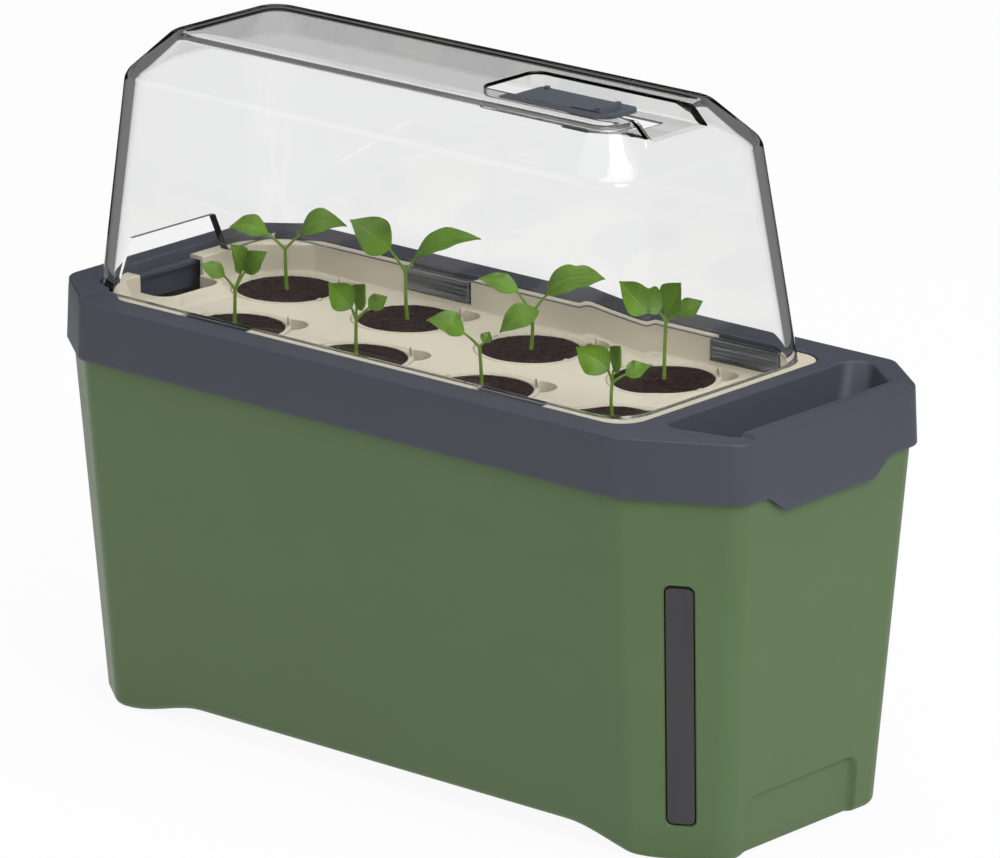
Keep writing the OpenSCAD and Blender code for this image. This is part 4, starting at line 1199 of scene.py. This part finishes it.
def dome_profile(d):
    """Rings (inset, z, reach of the corners) from the base to the top, d inside the dome's outer face."""
    foot, eaves, top = (d, FLANGE_Z), (9 + 0.97 * d, EAVES_Z - 0.45 * d), (30 + 0.56 * d, TOP_Z - 0.85 * d)
    middle = (34 + 1.4 * d, TOP_Z - 0.36 * d)
    bend, edge = 3.2 - 0.3 * d, 3 - 0.16 * d

    def on(a, b, length):
        gap = math.hypot(b[0] - a[0], b[1] - a[1])
        return tuple(lerp(p, q, length / gap) for p, q in zip(a, b))

    steps = [on(foot, eaves, 9 * k) for k in range(12)]
    steps += curve_between(on(eaves, foot, bend), eaves, on(eaves, top, bend), 8)
    steps += [on(eaves, top, 4 * k) for k in range(2, 6)]
    steps += curve_between(on(top, eaves, edge), top, (top[0] + edge, top[1]), 8) + [middle]
    foot_reach, eaves_reach, top_reach = 22, 30, 14
    out = []
    for x, z in steps:
        wall = min((z - FLANGE_Z) / (EAVES_Z - FLANGE_Z), 1)
        bevel = min(max((z - EAVES_Z) / (TOP_Z - EAVES_Z), 0), 1)
        out.append((x, z, lerp(lerp(foot_reach, eaves_reach, wall), top_reach, bevel) - d))
    return out


def dome_solid(d, base_z):
    layers = []
    for x, z, reach in dome_profile(d):
        rake = Vector((DOME_RAKE * (z - FLANGE_Z) / (TOP_Z - FLANGE_Z), 0))
        plan = blended(inset(DOME_PLAN, x), reach, 24, evens(6, 16, 6, 16))
        layers.append(([p - rake for p in plan], base_z if z == FLANGE_Z else z))
    return stack(layers)


def channel(grow, z0):
    """The vent channel's hollow down to z0; it runs out through the bevelled end."""
    near, far, half = 16.5, 160, 20
    lower = [(-0.8, z0), (-0.25, z0 + 0.25), (0, z0 + 0.8)]
    upper = [(0, TOP_Z - 1), (0.07, TOP_Z - 0.6), (0.3, TOP_Z - 0.3), (0.6, TOP_Z - 0.07), (1, TOP_Z + 0.02)]
    layers = []
    for more, z in lower + upper + [(1, TOP_Z + 4)]:
        g = grow + more
        plan = [(far, -half - g), (far, half + g), (near - g, half + g), (near - g, -half - g)]
        layers.append((rounded(plan, 6 + max(g, -0.8)), z))
    return stack(layers)


def bay_cutter():
    """Cuts the dome's opening over the tray's bay."""
    shell = Shell()
    plan = [(-51.5, 208), (29.5, 208), (18.5, 230), (-40.5, 230)]
    shell.solid([shell.chain([(x, y, z) for y, z in plan]) for x in (-205, -177)])
    return shell


def dome_mesh():
    lining = channel(CHANNEL_T, CHANNEL_Z - CHANNEL_T)
    hollow = carve(mesh_of("hollow", dome_solid(WALL_T, FLANGE_Z - 3)), [(lining, "DIFFERENCE")])
    cuts = [(shell_of(hollow), "DIFFERENCE"), (channel(0, CHANNEL_Z), "DIFFERENCE")]
    near, far, half = 55.5, 103.5, 11
    slot = rounded([(far, -half), (far, half), (near, half), (near, -half)], 1.2, 4)
    cuts.append((stack([(slot, CHANNEL_Z - 6), (slot, CHANNEL_Z + 3)]), "DIFFERENCE"))
    cuts.append((bay_cutter(), "DIFFERENCE"))
    return carve(mesh_of("dome", dome_solid(0, FLANGE_Z)), cuts)


piece("dome_shell", dome_mesh(), "dome", [CLEAR], ["dome"], 24)


def clip_mesh(x, way):
    """One clip tab: a soft block with fine grip lines along its inner face."""
    shell = Shell()
    low, high = sorted(y * way for y in CLIP_Y)
    shell.block((x - CLIP_W / 2, low, FLANGE_Z - CLIP_H), (x + CLIP_W / 2, high, FLANGE_Z), 1.2, 0.8)
    face, out = (low, -0.35) if way > 0 else (high, 0.35)
    for k in range(4):
        z = FLANGE_Z - 9.4 + 2.2 * k
        y0, y1 = sorted((face + out, face - out))
        shell.block((x - CLIP_W / 2 + 2, y0, z), (x + CLIP_W / 2 - 2, y1, z + 1), 0.3, 0.25, 3)
    return mesh_of("clip", shell)


for n, (x, way) in enumerate(CLIPS, 1):
    piece(f"clip_tab_{n}", clip_mesh(x, way), "dome", [CLIP_SMOKE], [f"dome_clip_{n}"])


# Vent slider

def slider_mesh():
    """A plate, a neck through the slot, its foot, a grip, three ribs and a stud."""
    shell = Shell()
    z = CHANNEL_Z + 0.3
    shell.block((23.5, -16, z), (83.5, 16, z + 3), 2, 0.7, 6)
    shell.block((62.5, -10.4, CHANNEL_Z - 5.8), (78.5, 10.4, z + 0.4), 0.8, 0.2, 3)
    shell.block((62.5, -14, CHANNEL_Z - 5.8), (78.5, 14, CHANNEL_Z - 3.8), 0.8, 0.4, 3)
    shell.block((77.5, -8, z + 2), (80.5, 8, z + 6.5), 1.2, 0.6, 5)
    for k in range(3):
        shell.block((71 + 2 * k, -8, z + 2.6), (72 + 2 * k, 8, z + 3.5), 0.45, 0.3, 4)
    stud = [(1.5, 2.6), (1.5, 4.1), (1.3, 4.4), (0.8, 4.5)]
    shell.solid([shell.ring(circle(29.5, 13, r, 24), z + up) for r, up in stud])
    return mesh_of("slider", shell)


piece("vent_slide", slider_mesh(), "vent", [SLIDER_SLATE], ["vent_slider"])


# Reservoir

def mat_plan():
    """Outline of the capillary mat: the pot's inside, cut short of the filler."""
    end, half = 147, 77.3
    plan = [p for p in rounded(inset(RIM_PLAN, 15.7), 12, 8, [even(12)] * 8) if p.x < end - 1]
    return [Vector((end, half))] + plan + [Vector((end, -half))]


def mat_mesh(plan):
    """Felt with a soft cut edge and a slightly uneven surface, laid flat."""
    shell = Shell()
    middle = Vector((-26, 0))

    def layer(share, z, uneven):
        spots = [middle + (p - middle) * share for p in plan]
        heights = [z + uneven * noise.noise(Vector((p.x * 0.05, p.y * 0.05, z))) for p in spots]
        return shell.ring(spots, heights)

    shares = (0.15, 0.3, 0.45, 0.6, 0.75, 0.87, 0.95, 0.99)
    under = [layer(share, MAT_Z + 0.02, 0) for share in shares]
    upper = [layer(share, MAT_Z + 2.25, 0.22) for share in reversed(shares)]
    edge = [layer(1.0, MAT_Z + up, 0) for up in (0.5, 1.2, 1.9)]
    shell.solid(under + edge + upper)
    return mesh_of("mat", shell)


MAT = mat_plan()
mat = piece("felt_mat", mat_mesh(MAT), "planter", [FELT], ["capillary_mat"], 60)


def wick_mesh(x):
    """A twisted felt wick: bundled strands in a round core."""
    shell = Shell()
    rings = []
    steps, sides = 44, 72
    foot_z, core_r, strand, twist = 17.1, 12.6, 0.55, 0.035
    for k in range(steps + 1):
        z = lerp(foot_z, MAT_Z - 0.05, k / steps)
        tight = 1 - 0.12 * (1 - smooth(min(k, steps - k) / 2))
        spots = []
        for i in range(sides):
            a = 2 * math.pi * i / sides
            r = core_r + strand * abs(math.cos(4 * (a + z * twist))) - 0.25
            spots.append((x + r * tight * math.cos(a), r * tight * math.sin(a), z))
        rings.append(shell.chain(spots))
    shell.solid(rings)
    return mesh_of("wick", shell)


for side, x in (("left", -WICK_X), ("right", WICK_X)):
    wick = piece(f"felt_wick_{side}", wick_mesh(x), "planter", [FELT], [f"wick_core_{side}"], 60)

DRESSED = {"sight_gasket": RUBBER}
DRESSED |= dict.fromkeys(("capillary_deck", "wick_basket_left", "wick_basket_right"), DECK_DARK)
for name, material in DRESSED.items():
    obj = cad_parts[name]
    obj.data.materials.clear()
    obj.data.materials.append(material)


# Floor, world and lamps

def white_to_the_eye(nodes, kind):
    """The share of rays that see plain white, and a white glow that is dimmer for rays caught in glass."""
    path = nodes.add("ShaderNodeLightPath").outputs
    share = path["Is Camera Ray"]
    for key in ("Is Glossy Ray", "Is Transmission Ray"):
        share = nodes.math("MAXIMUM", share, path[key])
    caught = nodes.math("MULTIPLY", path["Transmission Depth"], path["Glossy Depth"])
    glow = nodes.add(kind, Color=(1, 1, 1, 1))
    nodes.link(nodes.range(caught, 1.0, 0.16), glow.inputs["Strength"])
    return share, glow.outputs[0]


def make_world():
    world = bpy.data.worlds.new("studio")
    scene.world = world
    world.use_nodes = True
    nodes = Nodes(world.node_tree)
    plain = nodes.tree.nodes["Background"]
    plain.inputs["Color"].default_value = (1, 1, 1, 1)
    plain.inputs["Strength"].default_value = 0.55
    share, glow = white_to_the_eye(nodes, "ShaderNodeBackground")
    nodes.blend(share, plain.outputs[0], glow, "World Output")


def set_piece(name, mesh, tone):
    """A dull piece of the set, and its material."""
    obj = bpy.data.objects.new(name, mesh)
    scene.collection.objects.link(obj)
    paint = Paint(name)
    paint.set(Base_Color=(tone, tone, tone, 1), Roughness=1, Specular_IOR_Level=0)
    mesh.materials.append(paint.material)
    return obj, paint


def make_floor():
    bm = bmesh.new()
    bmesh.ops.create_grid(bm, x_segments=8, y_segments=8, size=12)
    mesh = bpy.data.meshes.new("floor")
    bm.to_mesh(mesh)
    bm.free()
    _, paint = set_piece("floor", mesh, 0.8)
    share, glow = white_to_the_eye(paint, "ShaderNodeEmission")
    paint.blend(paint.math("MULTIPLY", share, 0.93), paint.shader.outputs[0], glow, "Material Output")


def make_flag():
    """A dark band round the set that only gloss sees, so that polished tops don't wash out."""
    shell = Shell()
    shell.loft([shell.ring(circle(0, 0, r, 96), z) for r, z in ((1000, 5), (1300, 600), (1300, 1900))])
    obj, _ = set_piece("flag", mesh_of("flag", shell), 0.03)
    for ray in ("camera", "diffuse", "shadow", "transmission"):
        setattr(obj, f"visible_{ray}", False)


def lamp(name, place, size, power):
    data = bpy.data.lights.new(name, "AREA")
    data.shape = "RECTANGLE"
    data.size, data.size_y = size
    data.energy = power
    obj = bpy.data.objects.new(name, data)
    scene.collection.objects.link(obj)
    obj.location = place
    away = Vector(place) - Vector((0, 0, 0.16))
    obj.rotation_euler = away.to_track_quat("Z", "Y").to_euler()


make_world()
make_floor()
make_flag()
lamp("key", (2.2, -0.7, 1.9), (1.4, 1.4), 48)
lamp("fill", (-1.6, -1.8, 1.2), (1.6, 1.6), 7)
lamp("top", (0.0, 0.4, 2.4), (1.6, 1.2), 16)

scene.view_settings.view_transform = "Standard"
